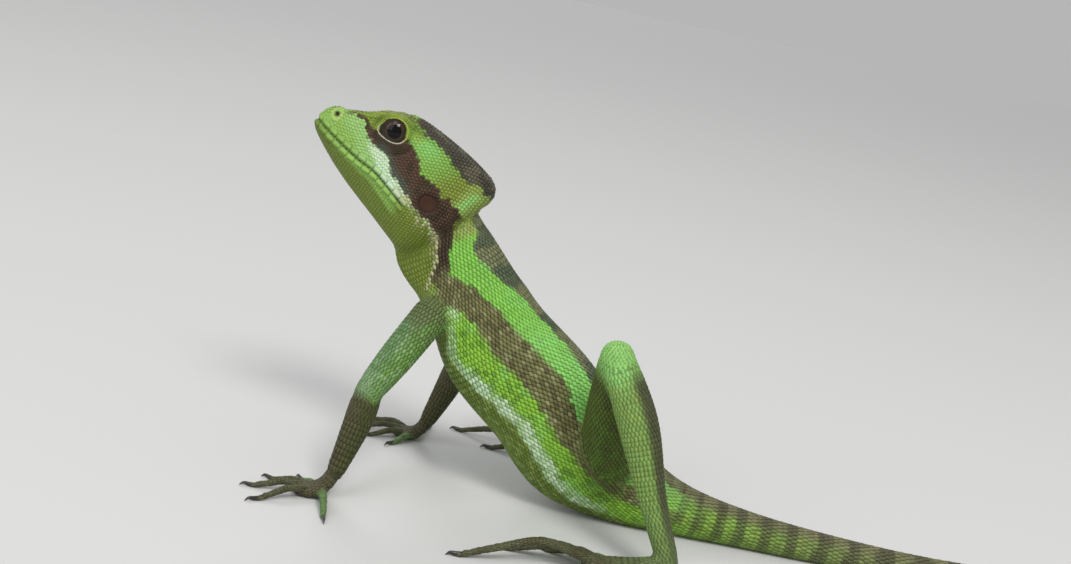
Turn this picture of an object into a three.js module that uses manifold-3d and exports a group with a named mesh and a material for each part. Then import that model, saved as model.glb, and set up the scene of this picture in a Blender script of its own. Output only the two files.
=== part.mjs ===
// An eastern casquehead iguana, life size, as a still museum model: the front of the body is propped on
// straight arms, the head is raised, one long hind leg is folded up beside the hip, and the thin tail
// trails along the floor. Millimetres, +Z up. The animal heads along -X, and its left side faces -Y.
import * as THREE from 'three';
import { mergeVertices } from 'three/addons/utils/BufferGeometryUtils.js';
import Module from 'manifold-3d';

const wasm = await Module();
wasm.setup();

const V = (x, y, z) => new THREE.Vector3(x, y, z);
const UP = V(0, 0, 1);

// Driving dimensions
const GAP = 0.3; // what neighbouring pieces keep between them
const SMALLEST = 0.06; // detail under this is dropped
const HEAD_PITCH = THREE.MathUtils.degToRad(28); // the snout points up by this much
const HEAD_ROLL = THREE.MathUtils.degToRad(5); // the chin turns a little to the animal's left
const SNOUT = V(-19.1, 0, 83.5);
const EYE_R = 4.1;
const EYE_AT = { back: 16.6, up: 10.6, side: 4.5 }; // in the head's own axes
const LID = 0.45; // thickness of the lids over each eye
const EAR_R = 2.7;
const EAR_AT = { back: 33.3, up: 2.5 };
const MOUTH_END = 28.5; // from the snout to the corner of the mouth
const CLAW_LENGTH = 3.0;

// Shapes

// A closed body through rings of equal count, with each end closed by a fan.
function loft(rings) {
  const n = rings[0].length;
  const points = rings.flat();
  const triangles = [];
  for (let r = 0; r < rings.length - 1; r++) {
    for (let i = 0; i < n; i++) {
      const j = (i + 1) % n;
      const [a, b, c, d] = [r * n + i, r * n + j, (r + 1) * n + i, (r + 1) * n + j];
      triangles.push(a, b, d, a, d, c);
    }
  }
  for (const end of [0, rings.length - 1]) {
    const middle = points.length;
    points.push(rings[end].reduce((s, p) => s.add(p), V(0, 0, 0)).divideScalar(n));
    for (let i = 0; i < n; i++) {
      const a = end * n + i;
      const b = end * n + ((i + 1) % n);
      triangles.push(...(end === 0 ? [b, a, middle] : [a, b, middle]));
    }
  }
  const geometry = new THREE.BufferGeometry().setFromPoints(points);
  geometry.setIndex(triangles);
  return geometry;
}

// A geometry as a solid, turned right side out.
function solid(geometry) {
  const bare = geometry.clone();
  bare.deleteAttribute('normal');
  bare.deleteAttribute('uv');
  const merged = mergeVertices(bare, 1e-4);
  const index = merged.index.array;
  const faces = [];
  for (let i = 0; i < index.length; i += 3) {
    const [a, b, c] = [index[i], index[i + 1], index[i + 2]];
    if (a !== b && b !== c && a !== c) faces.push(a, b, c);
  }
  const make = (list) =>
    new wasm.Manifold(
      new wasm.Mesh({
        numProp: 3,
        vertProperties: new Float32Array(merged.attributes.position.array),
        triVerts: new Uint32Array(list),
      }),
    );
  const made = make(faces);
  return made.volume() > 0 ? made : make(faces.reverse());
}

// The largest closed surface of a solid, as a geometry.
function geometryOf(made) {
  const pieces = made.simplify(SMALLEST).decompose();
  pieces.sort((a, b) => b.volume() - a.volume());
  const mesh = pieces[0].getMesh();
  const geometry = new THREE.BufferGeometry();
  geometry.setAttribute('position', new THREE.BufferAttribute(new Float32Array(mesh.vertProperties), 3));
  geometry.setIndex(new THREE.BufferAttribute(new Uint32Array(mesh.triVerts), 1));
  geometry.computeVertexNormals();
  return geometry;
}

const union = (list) => list.reduce((a, b) => a.add(b));
const cut = (made, ...tools) => tools.reduce((a, b) => a.subtract(b), made);

// A smooth run of values through a list, at the same parameter as a curve through as many points.
function through(values, u) {
  const curve = new THREE.CatmullRomCurve3(values.map((v) => V(...v)), false, 'catmullrom', 0.5);
  return curve.getPoint(u);
}

// A round limb or digit through points with a half-width and a half-depth at each.
// The ends are domed where asked, and grow widens it on every side.
function limb({ points, sizes, sides = 8, steps = 8, domes = [true, true], grow = 0, face = UP, from = 0, to = 1 }) {
  const curve = new THREE.CatmullRomCurve3(points, false, 'centripetal');
  const spread = sizes.map(([wide, deep]) => [wide, deep, 0]);
  const frame = (u) => {
    const along = curve.getTangent(u).normalize();
    const side = V(0, 0, 0).crossVectors(face, along).normalize();
    return { along, side, rise: V(0, 0, 0).crossVectors(along, side) };
  };
  const ring = (u, shrink, shift) => {
    const { along, side, rise } = frame(u);
    const size = through(spread, u);
    const centre = curve.getPoint(u).addScaledVector(along, shift);
    return Array.from({ length: sides }, (_, i) => {
      const t = ((i + 0.5) * 2 * Math.PI) / sides;
      return centre
        .clone()
        .addScaledVector(side, (size.x + grow) * shrink * Math.cos(t))
        .addScaledVector(rise, (size.y + grow) * shrink * Math.sin(t));
    });
  };
  const rings = [];
  const dome = [0.42, 0.84];
  const height = (u) => (through(spread, u).x + through(spread, u).y) / 2 + grow;
  if (domes[0]) dome.forEach((s) => rings.push(ring(from, s, -height(from) * Math.sqrt(1 - s * s))));
  for (let k = 0; k <= steps; k++) rings.push(ring(from + ((to - from) * k) / steps, 1, 0));
  if (domes[1]) [...dome].reverse().forEach((s) => rings.push(ring(to, s, height(to) * Math.sqrt(1 - s * s))));
  return solid(loft(rings));
}

// Everything stands on one level, so all is cut flat there.
const FLOOR = solid(new THREE.BoxGeometry(1200, 600, 60).translate(150, 0, -30));
const onFloor = (made) => made.subtract(FLOOR);

// Spine: neck, trunk and tail are one run of sections
// Each station holds x, y, z, then the height above the axis, the depth below it, and the half-width.
const STATIONS = [
  [11.5, 0, 73.5, 7.2, 10.0, 5.2], // inside the head
  [17.2, 0, 61.8, 10.0, 13.6, 6.4], // neck, with the throat below
  [23.0, 0, 54.4, 10.9, 13.0, 7.6],
  [28.2, 0, 46.6, 12.8, 12.8, 10.0], // shoulders
  [35.7, 0, 37.2, 14.6, 14.6, 11.6],
  [48.3, 0, 27.4, 15.0, 15.2, 12.2], // belly
  [60.5, 0, 17.6, 13.2, 16.4, 11.0], // hips
  [73.0, 0, 10.8, 9.6, 11.8, 8.6],
  [86.0, 0.2, 6.8, 6.6, 7.3, 6.6], // root of the tail
  [103, 0.6, 4.7, 4.9, 4.95, 5.0],
  [125, 1.0, 3.7, 3.9, 3.9, 4.0],
  [152, 3.5, 3.0, 3.2, 3.2, 3.3],
  [185, 11, 2.5, 2.7, 2.7, 2.8],
  [220, 23, 2.1, 2.3, 2.3, 2.4],
  [256, 35, 1.8, 2.0, 2.0, 2.1],
  [292, 41, 1.5, 1.7, 1.7, 1.8],
  [328, 36, 1.3, 1.4, 1.5, 1.5],
  [362, 20, 1.1, 1.2, 1.3, 1.2],
  [392, -4, 0.9, 0.9, 1.1, 1.0],
  [415, -33, 0.6, 0.6, 0.75, 0.6], // tip
];
const LAST = STATIONS.length - 1;
const SPINE_SIDES = 18;
const THROAT_END = 2.4; // in stations: how far the narrow throat reaches
const spineCurve = new THREE.CatmullRomCurve3(STATIONS.map((s) => V(s[0], s[1], s[2])), false, 'catmullrom', 0.5);
const spineSizes = STATIONS.map((s) => s.slice(3));

// One ring of the body at a station number, which may lie between two stations.
function spineRing(station, grow) {
  const u = station / LAST;
  const along = spineCurve.getTangent(u).normalize();
  const side = V(0, 0, 0).crossVectors(UP, along).setZ(0).normalize();
  const rise = V(0, 0, 0).crossVectors(along, side).normalize();
  const size = through(spineSizes, u);
  const throat = Math.max(0, Math.min(1, THROAT_END - station)); // 1 along the throat, 0 along the trunk
  const centre = spineCurve.getPoint(u);
  return Array.from({ length: SPINE_SIDES }, (_, i) => {
    const t = (i * 2 * Math.PI) / SPINE_SIDES;
    const high = Math.cos(t);
    const pinch = high < 0 ? 1 + (0.1 + 0.32 * throat) * high : 1 - 0.12 * high;
    const reach = high < 0 ? size.y + grow : size.x + grow;
    return centre
      .clone()
      .addScaledVector(side, (size.z + grow) * Math.sin(t) * pinch)
      .addScaledVector(rise, reach * high);
  });
}

function spinePart(from, to, perStation, grow = 0) {
  const steps = Math.max(2, Math.round((to - from) * perStation));
  const rings = Array.from({ length: steps + 1 }, (_, k) => spineRing(from + ((to - from) * k) / steps, grow));
  return solid(loft(rings));
}

// The gap between two lengths of the spine, as a share of a station there.
function gapAt(station) {
  const u = station / LAST;
  const step = spineCurve.getPoint(u).distanceTo(spineCurve.getPoint(Math.min(1, u + 0.1 / LAST))) / 0.1;
  return GAP / step / 2;
}

// Head, in its own axes: back from the snout, up, and to the side
const headBack = V(Math.cos(HEAD_PITCH), 0, -Math.sin(HEAD_PITCH));
const headUp = V(Math.sin(HEAD_PITCH), 0, Math.cos(HEAD_PITCH)).applyAxisAngle(headBack, -HEAD_ROLL);
const headSide = V(0, 1, 0).applyAxisAngle(headBack, -HEAD_ROLL); // to the animal's right
const HEAD_PIVOT = 6; // the head rolls about a line this far above the snout's axis
const headAt = (back, up, side) =>
  SNOUT.clone()
    .add(V(Math.sin(HEAD_PITCH), 0, Math.cos(HEAD_PITCH)).multiplyScalar(HEAD_PIVOT))
    .addScaledVector(headBack, back)
    .addScaledVector(headUp, up - HEAD_PIVOT)
    .addScaledVector(headSide, side);

// Each row: back from the snout, then the heights of crown, mouth and underside, then the half-widths
// of the crown's edge, the cheek, the lip and the lower jaw.
const SKULL = [
  [0.0, 3.6, 1.0, -0.5, 0.7, 1.2, 1.5, 1.1],
  [1.2, 5.6, 0.8, -1.7, 1.9, 2.7, 3.0, 2.4],
  [4.0, 7.0, 0.5, -3.1, 3.0, 4.0, 4.4, 3.6],
  [9.0, 10.1, 0.1, -5.1, 4.4, 5.3, 6.0, 4.9],
  [14.0, 13.9, 0.0, -6.7, 6.1, 6.7, 7.4, 5.9],
  [19.0, 16.0, 0.3, -8.0, 7.3, 7.6, 8.4, 6.5],
  [25.0, 16.7, -0.7, -9.4, 7.6, 8.3, 9.1, 6.9],
  [31.0, 16.7, -2.3, -10.9, 7.9, 8.6, 9.2, 6.8],
  [35.0, 16.5, -2.9, -11.6, 7.9, 8.2, 8.6, 6.4],
  [38.5, 16.2, -1.0, -8.5, 7.5, 7.6, 7.2, 5.6],
  [41.5, 15.7, 4.5, 0.5, 6.6, 6.6, 6.0, 5.0],
  [43.6, 14.8, 9.8, 7.6, 4.6, 4.7, 4.4, 3.8],
  [44.6, 13.6, 11.6, 10.6, 2.2, 2.3, 2.2, 1.9],
];
const skullAt = (u) => {
  const pick = (columns) => skullTracks[columns].getPoint(u);
  const first = pick('heights');
  const second = pick('widths');
  const third = pick('ends');
  return {
    back: third.x,
    crown: first.x,
    mouth: first.y,
    under: first.z,
    edge: second.x,
    cheek: second.y,
    lip: second.z,
    jaw: third.y,
  };
};
const track = (columns) => new THREE.CatmullRomCurve3(SKULL.map((r) => V(...columns.map((c) => r[c]))), false, 'catmullrom', 0.5);
const skullTracks = { heights: track([1, 2, 3]), widths: track([4, 5, 6]), ends: track([0, 7, 7]) };
const SKULL_SIDES = 20;
const CROWN_DIP = 0.7; // the crown is a little hollow between its edges

function skullRing(u, grow) {
  const s = skullAt(u);
  const deep = s.mouth - s.under;
  const half = [
    [s.edge * 0.55, s.crown - CROWN_DIP * 0.5],
    [s.edge, s.crown],
    [(s.edge + s.cheek) / 2, s.crown * 0.78 + s.mouth * 0.22],
    [s.cheek, s.crown * 0.42 + s.mouth * 0.58],
    [s.lip, s.mouth],
    [s.jaw, s.mouth - deep * 0.52],
    [s.jaw * 0.52, s.under + deep * 0.12],
  ];
  const outline = [
    [0, s.crown - CROWN_DIP],
    ...half,
    [0, s.under],
    ...[...half].reverse().map(([w, h]) => [-w, h]),
  ];
  const curve = new THREE.CatmullRomCurve3(outline.map(([w, h]) => V(w, h, 0)), true, 'centripetal');
  const middle = (s.crown + s.under) / 2;
  return Array.from({ length: SKULL_SIDES }, (_, i) => {
    const p = curve.getPoint(i / SKULL_SIDES);
    const out = V(p.x, p.y - middle, 0);
    out.multiplyScalar((out.length() + grow) / Math.max(out.length(), 1e-6));
    return headAt(s.back, middle + out.y, out.x);
  });
}

function skull(grow = 0) {
  const steps = 24;
  const rings = Array.from({ length: steps + 1 }, (_, k) => skullRing(k / steps, grow));
  return solid(loft(rings));
}

// The lip line runs from one corner of the mouth round the snout to the other.
function lipLine(lift, inset) {
  const last = SKULL.findIndex((r) => r[0] > MOUTH_END) / (SKULL.length - 1);
  const steps = 12;
  const half = Array.from({ length: steps }, (_, k) => {
    const s = skullAt((last * (k + 1)) / steps);
    return [s.back, s.mouth + lift, s.lip - inset];
  });
  const front = skullAt(0);
  const line = [
    ...[...half].reverse().map(([b, h, w]) => headAt(b, h, w)),
    headAt(front.back - 0.2 + inset, front.mouth + lift, 0),
    ...half.map(([b, h, w]) => headAt(b, h, -w)),
  ];
  return line;
}

function lipTube(lift, inset, radius) {
  const points = lipLine(lift, inset);
  return limb({ points, sizes: points.map(() => [radius, radius]), sides: 5, steps: 18, face: headUp });
}

// How far the lids stand open from the middle of the eye, at an angle in degrees from straight back.
// They run out to a corner low in front of the eye and lie flattest below it.
function lidOpening(angle) {
  const bell = (middle, width) => Math.exp(-(((angle - middle) / width) ** 2));
  return 3.05 + 1.0 * bell(210, 25) - 0.55 * bell(285, 45);
}

// What the opening cuts out of the lids: an almond-shaped bar that points out of the side of the head.
function lidBar(hand) {
  const count = 18;
  const ring = (side) =>
    Array.from({ length: count }, (_, i) => {
      const angle = ((i + 0.5) * 360) / count;
      const t = THREE.MathUtils.degToRad(angle);
      const reach = lidOpening(angle);
      return headAt(EYE_AT.back + reach * Math.cos(t), EYE_AT.up + reach * Math.sin(t), hand * side);
    });
  return solid(loft([ring(EYE_AT.side + 1), ring(EYE_AT.side + EYE_R + 2)]));
}

function brow(hand) {
  const points = [9, 13, 17.5, 22, 26].map((back, i) => headAt(back, [9.2, 12.9, 14.9, 15.2, 14.0][i], hand * [4.2, 6.0, 7.3, 7.7, 7.3][i]));
  return limb({ points, sizes: [[0.7, 0.6], [1.1, 0.9], [1.3, 1.0], [1.1, 0.9], [0.6, 0.6]], sides: 6, steps: 10, face: headUp });
}

function ball(radius, centre, wide = 16, high = 10) {
  return solid(new THREE.SphereGeometry(radius, wide, high).translate(centre.x, centre.y, centre.z));
}

// A short round bar whose axis points out of the side of the head.
function sideBar(radius, length, centre, count) {
  const geometry = new THREE.CylinderGeometry(radius, radius, length, count);
  geometry.applyQuaternion(new THREE.Quaternion().setFromUnitVectors(V(0, 1, 0), headSide));
  return solid(geometry.translate(centre.x, centre.y, centre.z));
}

const eyeCentre = (hand) => headAt(EYE_AT.back, EYE_AT.up, hand * EYE_AT.side);
const earCentre = (hand, depth) => headAt(EAR_AT.back, EAR_AT.up, hand * (8.55 - depth));

function head() {
  const pieces = [skull(), lipTube(0.85, 0.25, 0.62), lipTube(-0.85, 0.35, 0.6)];
  for (const hand of [-1, 1]) {
    pieces.push(ball(EYE_R + GAP + LID, eyeCentre(hand), 20, 12));
    pieces.push(brow(hand), ball(1.0, headAt(3.6, 4.6, hand * 3.1), 8, 6));
  }
  const tools = [lipTube(0, 0, 0.34)];
  for (const hand of [-1, 1]) {
    tools.push(ball(EYE_R + GAP, eyeCentre(hand)), lidBar(hand));
    tools.push(sideBar(EAR_R + GAP, 3.2, earCentre(hand, -0.05), 16));
    tools.push(sideBar(0.5, 3.0, headAt(3.3, 4.8, hand * 4.0), 6));
  }
  return cut(union(pieces), ...tools);
}

// Limbs
// hand is -1 on the animal's left and +1 on its right. Each limb has its joints where that limb rests.
const ARMS = {
  left: {
    hand: -1,
    root: V(17.6, -6.0, 44.2),
    elbow: V(7.6, -19.5, 26.4),
    wrist: V(3.6, -23.5, 6.0),
    palm: V(-1.0, -25.2, 1.55),
    turn: 12,
  },
  right: {
    hand: 1,
    root: V(20.2, 6.0, 44.4),
    elbow: V(25.6, 21.5, 27.2),
    wrist: V(19.4, 26.6, 6.0),
    palm: V(14.8, 28.0, 1.55),
    turn: 8,
  },
};
const LEGS = {
  left: {
    hand: -1,
    root: V(67.5, -3.5, 13.5),
    knee: V(62.2, -24.0, 48.0),
    heel: V(83.5, -32.0, 4.6),
    sole: V(68.5, -34.4, 1.9),
    turn: 4,
  },
  right: {
    hand: 1,
    root: V(67.5, 3.5, 13.5),
    knee: V(44.0, 27.0, 32.5),
    heel: V(74.5, 32.0, 4.4),
    sole: V(60.0, 34.0, 1.9),
    turn: 6,
  },
};
// Each digit: its length, its angle from straight ahead with outwards positive, how high it arches,
// and how far back from the knuckles it starts.
const FINGERS = [
  { length: 7.5, angle: -62, arch: 1.0, back: 1.6 },
  { length: 11.0, angle: -30, arch: 1.5, back: 0.5 },
  { length: 13.5, angle: -3, arch: 1.9, back: 0 },
  { length: 14.0, angle: 26, arch: 1.9, back: 0.4 },
  { length: 11.0, angle: 92, arch: 1.7, back: 2.6 },
];
const TOES = [
  { length: 9.5, angle: -46, arch: 1.2, back: 3.0 },
  { length: 15.0, angle: -24, arch: 2.4, back: 1.2 },
  { length: 22.5, angle: -8, arch: 3.6, back: 0.2 },
  { length: 33.0, angle: 8, arch: 5.4, back: 0 },
  { length: 17.0, angle: 44, arch: 2.4, back: 9.0 },
];

// A point of a foot: forward from its knuckles, outwards, and up from the floor.
function footPoint(place, centre, ahead, out, up) {
  const t = THREE.MathUtils.degToRad(place.turn);
  const forward = V(-Math.cos(t), place.hand * Math.sin(t), 0);
  const outward = V(Math.sin(t) * 1, place.hand * Math.cos(t), 0);
  return V(centre.x, centre.y, 0).addScaledVector(forward, ahead).addScaledVector(outward, out).setZ(up);
}

function digitPath(place, centre, digit, thick) {
  const t = THREE.MathUtils.degToRad(digit.angle);
  const [c, s] = [Math.cos(t), Math.sin(t)];
  const spread = 1.6 * thick * Math.sin(t * 0.9);
  const at = (share, up) =>
    footPoint(place, centre, -digit.back + c * digit.length * share, spread + s * digit.length * share, up);
  const low = thick * 0.36;
  return [
    at(-0.12, low + 1.0),
    at(0.16, low + 0.9 + digit.arch * 0.45),
    at(0.45, low + 0.3 + digit.arch),
    at(0.76, low + digit.arch * 0.5),
    at(1.0, low),
  ];
}

function digits(place, centre, list, thick) {
  return list.map((digit) => {
    const points = digitPath(place, centre, digit, thick);
    const sizes = [1.1, 1.0, 0.9, 0.8, 0.62].map((s) => [s * thick, s * thick * 0.92]);
    return limb({ points, sizes, sides: 6, steps: 6, domes: [true, false] });
  });
}

function claws(place, centre, list, thick) {
  return list.map((digit) => {
    const path = digitPath(place, centre, digit, thick);
    const end = path[4];
    const along = end.clone().sub(path[3]).normalize();
    const flat = along.clone().setZ(0).normalize();
    const start = end.clone().addScaledVector(along, GAP).setZ(end.z + 0.1);
    const points = [
      start,
      start.clone().addScaledVector(along, CLAW_LENGTH * 0.3).addScaledVector(UP, 0.22),
      start.clone().addScaledVector(flat, CLAW_LENGTH * 0.68).setZ(0.62),
      start.clone().addScaledVector(flat, CLAW_LENGTH * 0.9).setZ(0.1),
    ];
    const sizes = [[0.5, 0.56], [0.42, 0.5], [0.28, 0.34], [0.13, 0.16]].map(([w, d]) => [w * thick, d * thick]);
    return limb({ points, sizes, sides: 5, steps: 4, domes: [false, false] });
  });
}

// Thickness of the digits, as their half-width at the knuckles
const FINGER = 1.05;
const TOE = 1.2;

function arm(place, grow = 0) {
  const { root, elbow, wrist, palm } = place;
  const middle = root.clone().lerp(elbow, 0.55);
  const fore = elbow.clone().lerp(wrist, 0.35).add(V(0.4, 0, 0));
  return {
    upper: limb({
      points: [root, middle, elbow],
      sizes: [[4.4, 4.6], [4.0, 4.3], [3.3, 3.5]],
      sides: 12,
      steps: 6,
      grow,
      face: V(1, 0, 0),
    }),
    lower: limb({
      points: [elbow, fore, wrist],
      sizes: [[3.2, 3.4], [3.2, 3.5], [2.0, 2.2]],
      sides: 12,
      steps: 6,
      grow,
      face: V(1, 0, 0),
    }),
    foot: limb({
      points: [wrist, wrist.clone().lerp(palm, 0.45).setZ(2.8), palm, footPoint(place, palm, 2.2, 0, 1.3)],
      sizes: [[2.0, 2.0], [2.6, 1.8], [3.1, 1.8], [2.3, 1.4]],
      sides: 8,
      steps: 6,
      grow,
    }),
  };
}

function leg(place, grow = 0) {
  const { root, knee, heel, sole } = place;
  const thighMiddle = root.clone().lerp(knee, 0.5);
  const calf = knee.clone().lerp(heel, 0.32).add(V(1.0, 0, 0));
  return {
    upper: limb({
      points: [root, thighMiddle, knee],
      sizes: [[6.8, 7.6], [5.8, 6.6], [3.8, 4.2]],
      sides: 12,
      steps: 6,
      grow,
      face: V(1, 0, 0),
    }),
    lower: limb({
      points: [knee, calf, knee.clone().lerp(heel, 0.7), heel],
      sizes: [[3.7, 4.0], [4.5, 4.8], [3.1, 3.3], [2.5, 2.6]],
      sides: 12,
      steps: 8,
      grow,
      face: V(1, 0, 0),
    }),
    foot: limb({
      points: [heel, heel.clone().lerp(sole, 0.4).setZ(3.0), sole, footPoint(place, sole, 2.6, 0, 1.6)],
      sizes: [[2.4, 2.6], [2.6, 2.3], [3.5, 2.1], [2.6, 1.7]],
      sides: 8,
      steps: 6,
      grow,
    }),
  };
}

// Materials

const finish = (colour, roughness) => new THREE.MeshStandardMaterial({ color: colour, roughness, metalness: 0 });
const MATERIALS = {
  head: finish(0x7fae45, 0.6),
  skin: finish(0x76b043, 0.65),
  flank: finish(0x6f9b45, 0.65),
  limb: finish(0x66794a, 0.65),
  tail: finish(0x6d6a4c, 0.7),
  eye: finish(0x2a1c14, 0.15),
  ear: finish(0x5c3528, 0.5),
  claw: finish(0x2f2922, 0.4),
};

const lizard = new THREE.Group();
function add(name, made, material) {
  const mesh = new THREE.Mesh(geometryOf(onFloor(made)), material);
  mesh.name = name;
  lizard.add(mesh);
}

function buildHead() {
  add('head', head(), MATERIALS.head);
  for (const [side, hand] of [['left', -1], ['right', 1]]) {
    add(`eye_${side}`, ball(EYE_R, eyeCentre(hand)), MATERIALS.eye);
    add(`eardrum_${side}`, sideBar(EAR_R, 0.7, earCentre(hand, 0.9), 16), MATERIALS.ear);
  }
}

// Where the lengths of the spine part, in station numbers
const NECK_END = 2.35;
const VENT = 7.35;
const TAIL_CUTS = [VENT, 9.6, 12, 14.3, 16.6, LAST];

function buildSpine() {
  const neck = spinePart(0, NECK_END - gapAt(NECK_END), 5);
  add('neck', cut(neck, skull(GAP)), MATERIALS.skin);
  add('torso', spinePart(NECK_END + gapAt(NECK_END), VENT - gapAt(VENT), 4), MATERIALS.flank);
  TAIL_CUTS.slice(0, -1).forEach((from, i) => {
    const to = TAIL_CUTS[i + 1];
    const last = i === TAIL_CUTS.length - 2;
    const end = last ? to : to - gapAt(to);
    add(`tail_${i + 1}`, spinePart(from + gapAt(from), end, 3), MATERIALS.tail);
  });
}

function buildLimbs() {
  const body = spinePart(0, 10, 4, GAP);
  for (const [kind, places, make, list, thick, names] of [
    ['hand', ARMS, arm, FINGERS, FINGER, ['upper_arm', 'forearm']],
    ['foot', LEGS, leg, TOES, TOE, ['thigh', 'shank']],
  ]) {
    for (const [side, place] of Object.entries(places)) {
      const centre = place.palm ?? place.sole;
      const own = make(place);
      const wide = make(place, GAP);
      add(`${names[0]}_${side}`, cut(own.upper, body), MATERIALS.limb);
      add(`${names[1]}_${side}`, cut(own.lower, wide.upper, body), MATERIALS.limb);
      const foot = union([own.foot, ...digits(place, centre, list, thick)]);
      add(`${kind}_${side}`, cut(foot, wide.lower), MATERIALS.limb);
      claws(place, centre, list, thick).forEach((claw, i) => {
        add(`claw_${kind}_${side}_${i + 1}`, claw, MATERIALS.claw);
      });
    }
  }
}

buildHead();
buildSpine();
buildLimbs();

// The origin is on the floor, under the middle of the whole animal.
const box = new THREE.Box3().setFromObject(lizard);
const shift = V(-(box.min.x + box.max.x) / 2, -(box.min.y + box.max.y) / 2, -box.min.z);
lizard.children.forEach((mesh) => mesh.position.copy(shift));

export default lizard;
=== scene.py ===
"""The looks of a casquehead lizard, life size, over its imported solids.

One skin is grown over the whole animal, and solid scales lie on it. Working sizes are millimetres in the
model's own axes: the animal heads along -X, its left side faces -Y and the floor is at Z = 0. They turn
into the frame's metres when a mesh is made.
"""

from math import cos, pi, radians, sin

import bpy
import numpy as np
from mathutils import Matrix, Vector
from mathutils.bvhtree import BVHTree


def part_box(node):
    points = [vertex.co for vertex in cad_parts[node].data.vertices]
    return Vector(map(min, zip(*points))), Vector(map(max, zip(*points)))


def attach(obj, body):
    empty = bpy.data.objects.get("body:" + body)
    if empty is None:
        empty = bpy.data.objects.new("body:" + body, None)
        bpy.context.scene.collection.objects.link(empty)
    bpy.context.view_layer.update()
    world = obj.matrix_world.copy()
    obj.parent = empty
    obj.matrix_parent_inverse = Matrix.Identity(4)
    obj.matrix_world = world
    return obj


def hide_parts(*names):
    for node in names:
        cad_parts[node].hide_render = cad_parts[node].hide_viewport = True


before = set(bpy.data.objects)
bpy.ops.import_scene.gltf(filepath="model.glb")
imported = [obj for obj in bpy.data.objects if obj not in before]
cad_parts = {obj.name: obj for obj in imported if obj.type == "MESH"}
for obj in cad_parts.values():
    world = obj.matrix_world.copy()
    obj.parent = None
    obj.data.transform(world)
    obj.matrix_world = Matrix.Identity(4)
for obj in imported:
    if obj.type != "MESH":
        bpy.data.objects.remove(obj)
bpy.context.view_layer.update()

MM = 0.001
RNG = np.random.default_rng(7)

# Sizes shared with the solids
HEAD_PITCH = radians(28)
HEAD_ROLL = radians(5)
HEAD_PIVOT = 6.0
SNOUT = np.array((-19.1, 0, 83.5))
EYE_R = 4.1
EYE_AT = (16.6, 10.6, 4.5)
EAR_AT = (33.3, 2.5)
EAR_DEPTH = 7.65
MOUTH_END = 28.5
CLAW_LENGTH = 3.0
FINGER = 1.05
TOE = 1.2
COAT = 0.16  # how far the skin lies inside the solids

# Each station: x, y, z, then the height above the axis, the depth below it, and the half-width.
STATIONS = np.array([
    (11.5, 0, 73.5, 7.2, 10.0, 5.2),
    (17.2, 0, 61.8, 10.0, 13.6, 6.4),
    (23.0, 0, 54.4, 10.9, 13.0, 7.6),
    (28.2, 0, 46.6, 12.8, 12.8, 10.0),
    (35.7, 0, 37.2, 14.6, 14.6, 11.6),
    (48.3, 0, 27.4, 15.0, 15.2, 12.2),
    (60.5, 0, 17.6, 13.2, 16.4, 11.0),
    (73.0, 0, 10.8, 9.6, 11.8, 8.6),
    (86.0, 0.2, 6.8, 6.6, 7.3, 6.6),
    (103, 0.6, 4.7, 4.9, 4.95, 5.0),
    (125, 1.0, 3.7, 3.9, 3.9, 4.0),
    (152, 3.5, 3.0, 3.2, 3.2, 3.3),
    (185, 11, 2.5, 2.7, 2.7, 2.8),
    (220, 23, 2.1, 2.3, 2.3, 2.4),
    (256, 35, 1.8, 2.0, 2.0, 2.1),
    (292, 41, 1.5, 1.7, 1.7, 1.8),
    (328, 36, 1.3, 1.4, 1.5, 1.5),
    (362, 20, 1.1, 1.2, 1.3, 1.2),
    (392, -4, 0.9, 0.9, 1.1, 1.0),
    (415, -33, 0.6, 0.6, 0.75, 0.6),
], float)
LAST = len(STATIONS) - 1
THROAT_END = 2.4

# Each row: back from the snout, the heights of crown, mouth and underside, then the half-widths of
# the crown's edge, the cheek, the lip and the lower jaw.
SKULL = np.array([
    (0.0, 3.6, 1.0, -0.5, 0.7, 1.2, 1.5, 1.1),
    (1.2, 5.6, 0.8, -1.7, 1.9, 2.7, 3.0, 2.4),
    (4.0, 7.0, 0.5, -3.1, 3.0, 4.0, 4.4, 3.6),
    (9.0, 10.1, 0.1, -5.1, 4.4, 5.3, 6.0, 4.9),
    (14.0, 13.9, 0.0, -6.7, 6.1, 6.7, 7.4, 5.9),
    (19.0, 16.0, 0.3, -8.0, 7.3, 7.6, 8.4, 6.5),
    (25.0, 16.7, -0.7, -9.4, 7.6, 8.3, 9.1, 6.9),
    (31.0, 16.7, -2.3, -10.9, 7.9, 8.6, 9.2, 6.8),
    (35.0, 16.5, -2.9, -11.6, 7.9, 8.2, 8.6, 6.4),
    (38.5, 16.2, -1.0, -8.5, 7.5, 7.6, 7.2, 5.6),
    (41.5, 15.7, 4.5, 0.5, 6.6, 6.6, 6.0, 5.0),
    (43.6, 14.8, 9.8, 7.6, 4.6, 4.7, 4.4, 3.8),
    (44.6, 13.6, 11.6, 10.6, 2.2, 2.3, 2.2, 1.9),
], float)
CROWN_DIP = 0.7

ARMS = {
    "left": dict(hand=-1, root=(17.6, -6.0, 44.2), elbow=(7.6, -19.5, 26.4), wrist=(3.6, -23.5, 6.0),
                 palm=(-1.0, -25.2, 1.55), turn=12),
    "right": dict(hand=1, root=(20.2, 6.0, 44.4), elbow=(25.6, 21.5, 27.2), wrist=(19.4, 26.6, 6.0),
                  palm=(14.8, 28.0, 1.55), turn=8),
}
LEGS = {
    "left": dict(hand=-1, root=(67.5, -3.5, 13.5), knee=(62.2, -24.0, 48.0), heel=(83.5, -32.0, 4.6),
                 sole=(68.5, -34.4, 1.9), turn=4),
    "right": dict(hand=1, root=(67.5, 3.5, 13.5), knee=(44.0, 27.0, 32.5), heel=(74.5, 32.0, 4.4),
                  sole=(60.0, 34.0, 1.9), turn=6),
}
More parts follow.
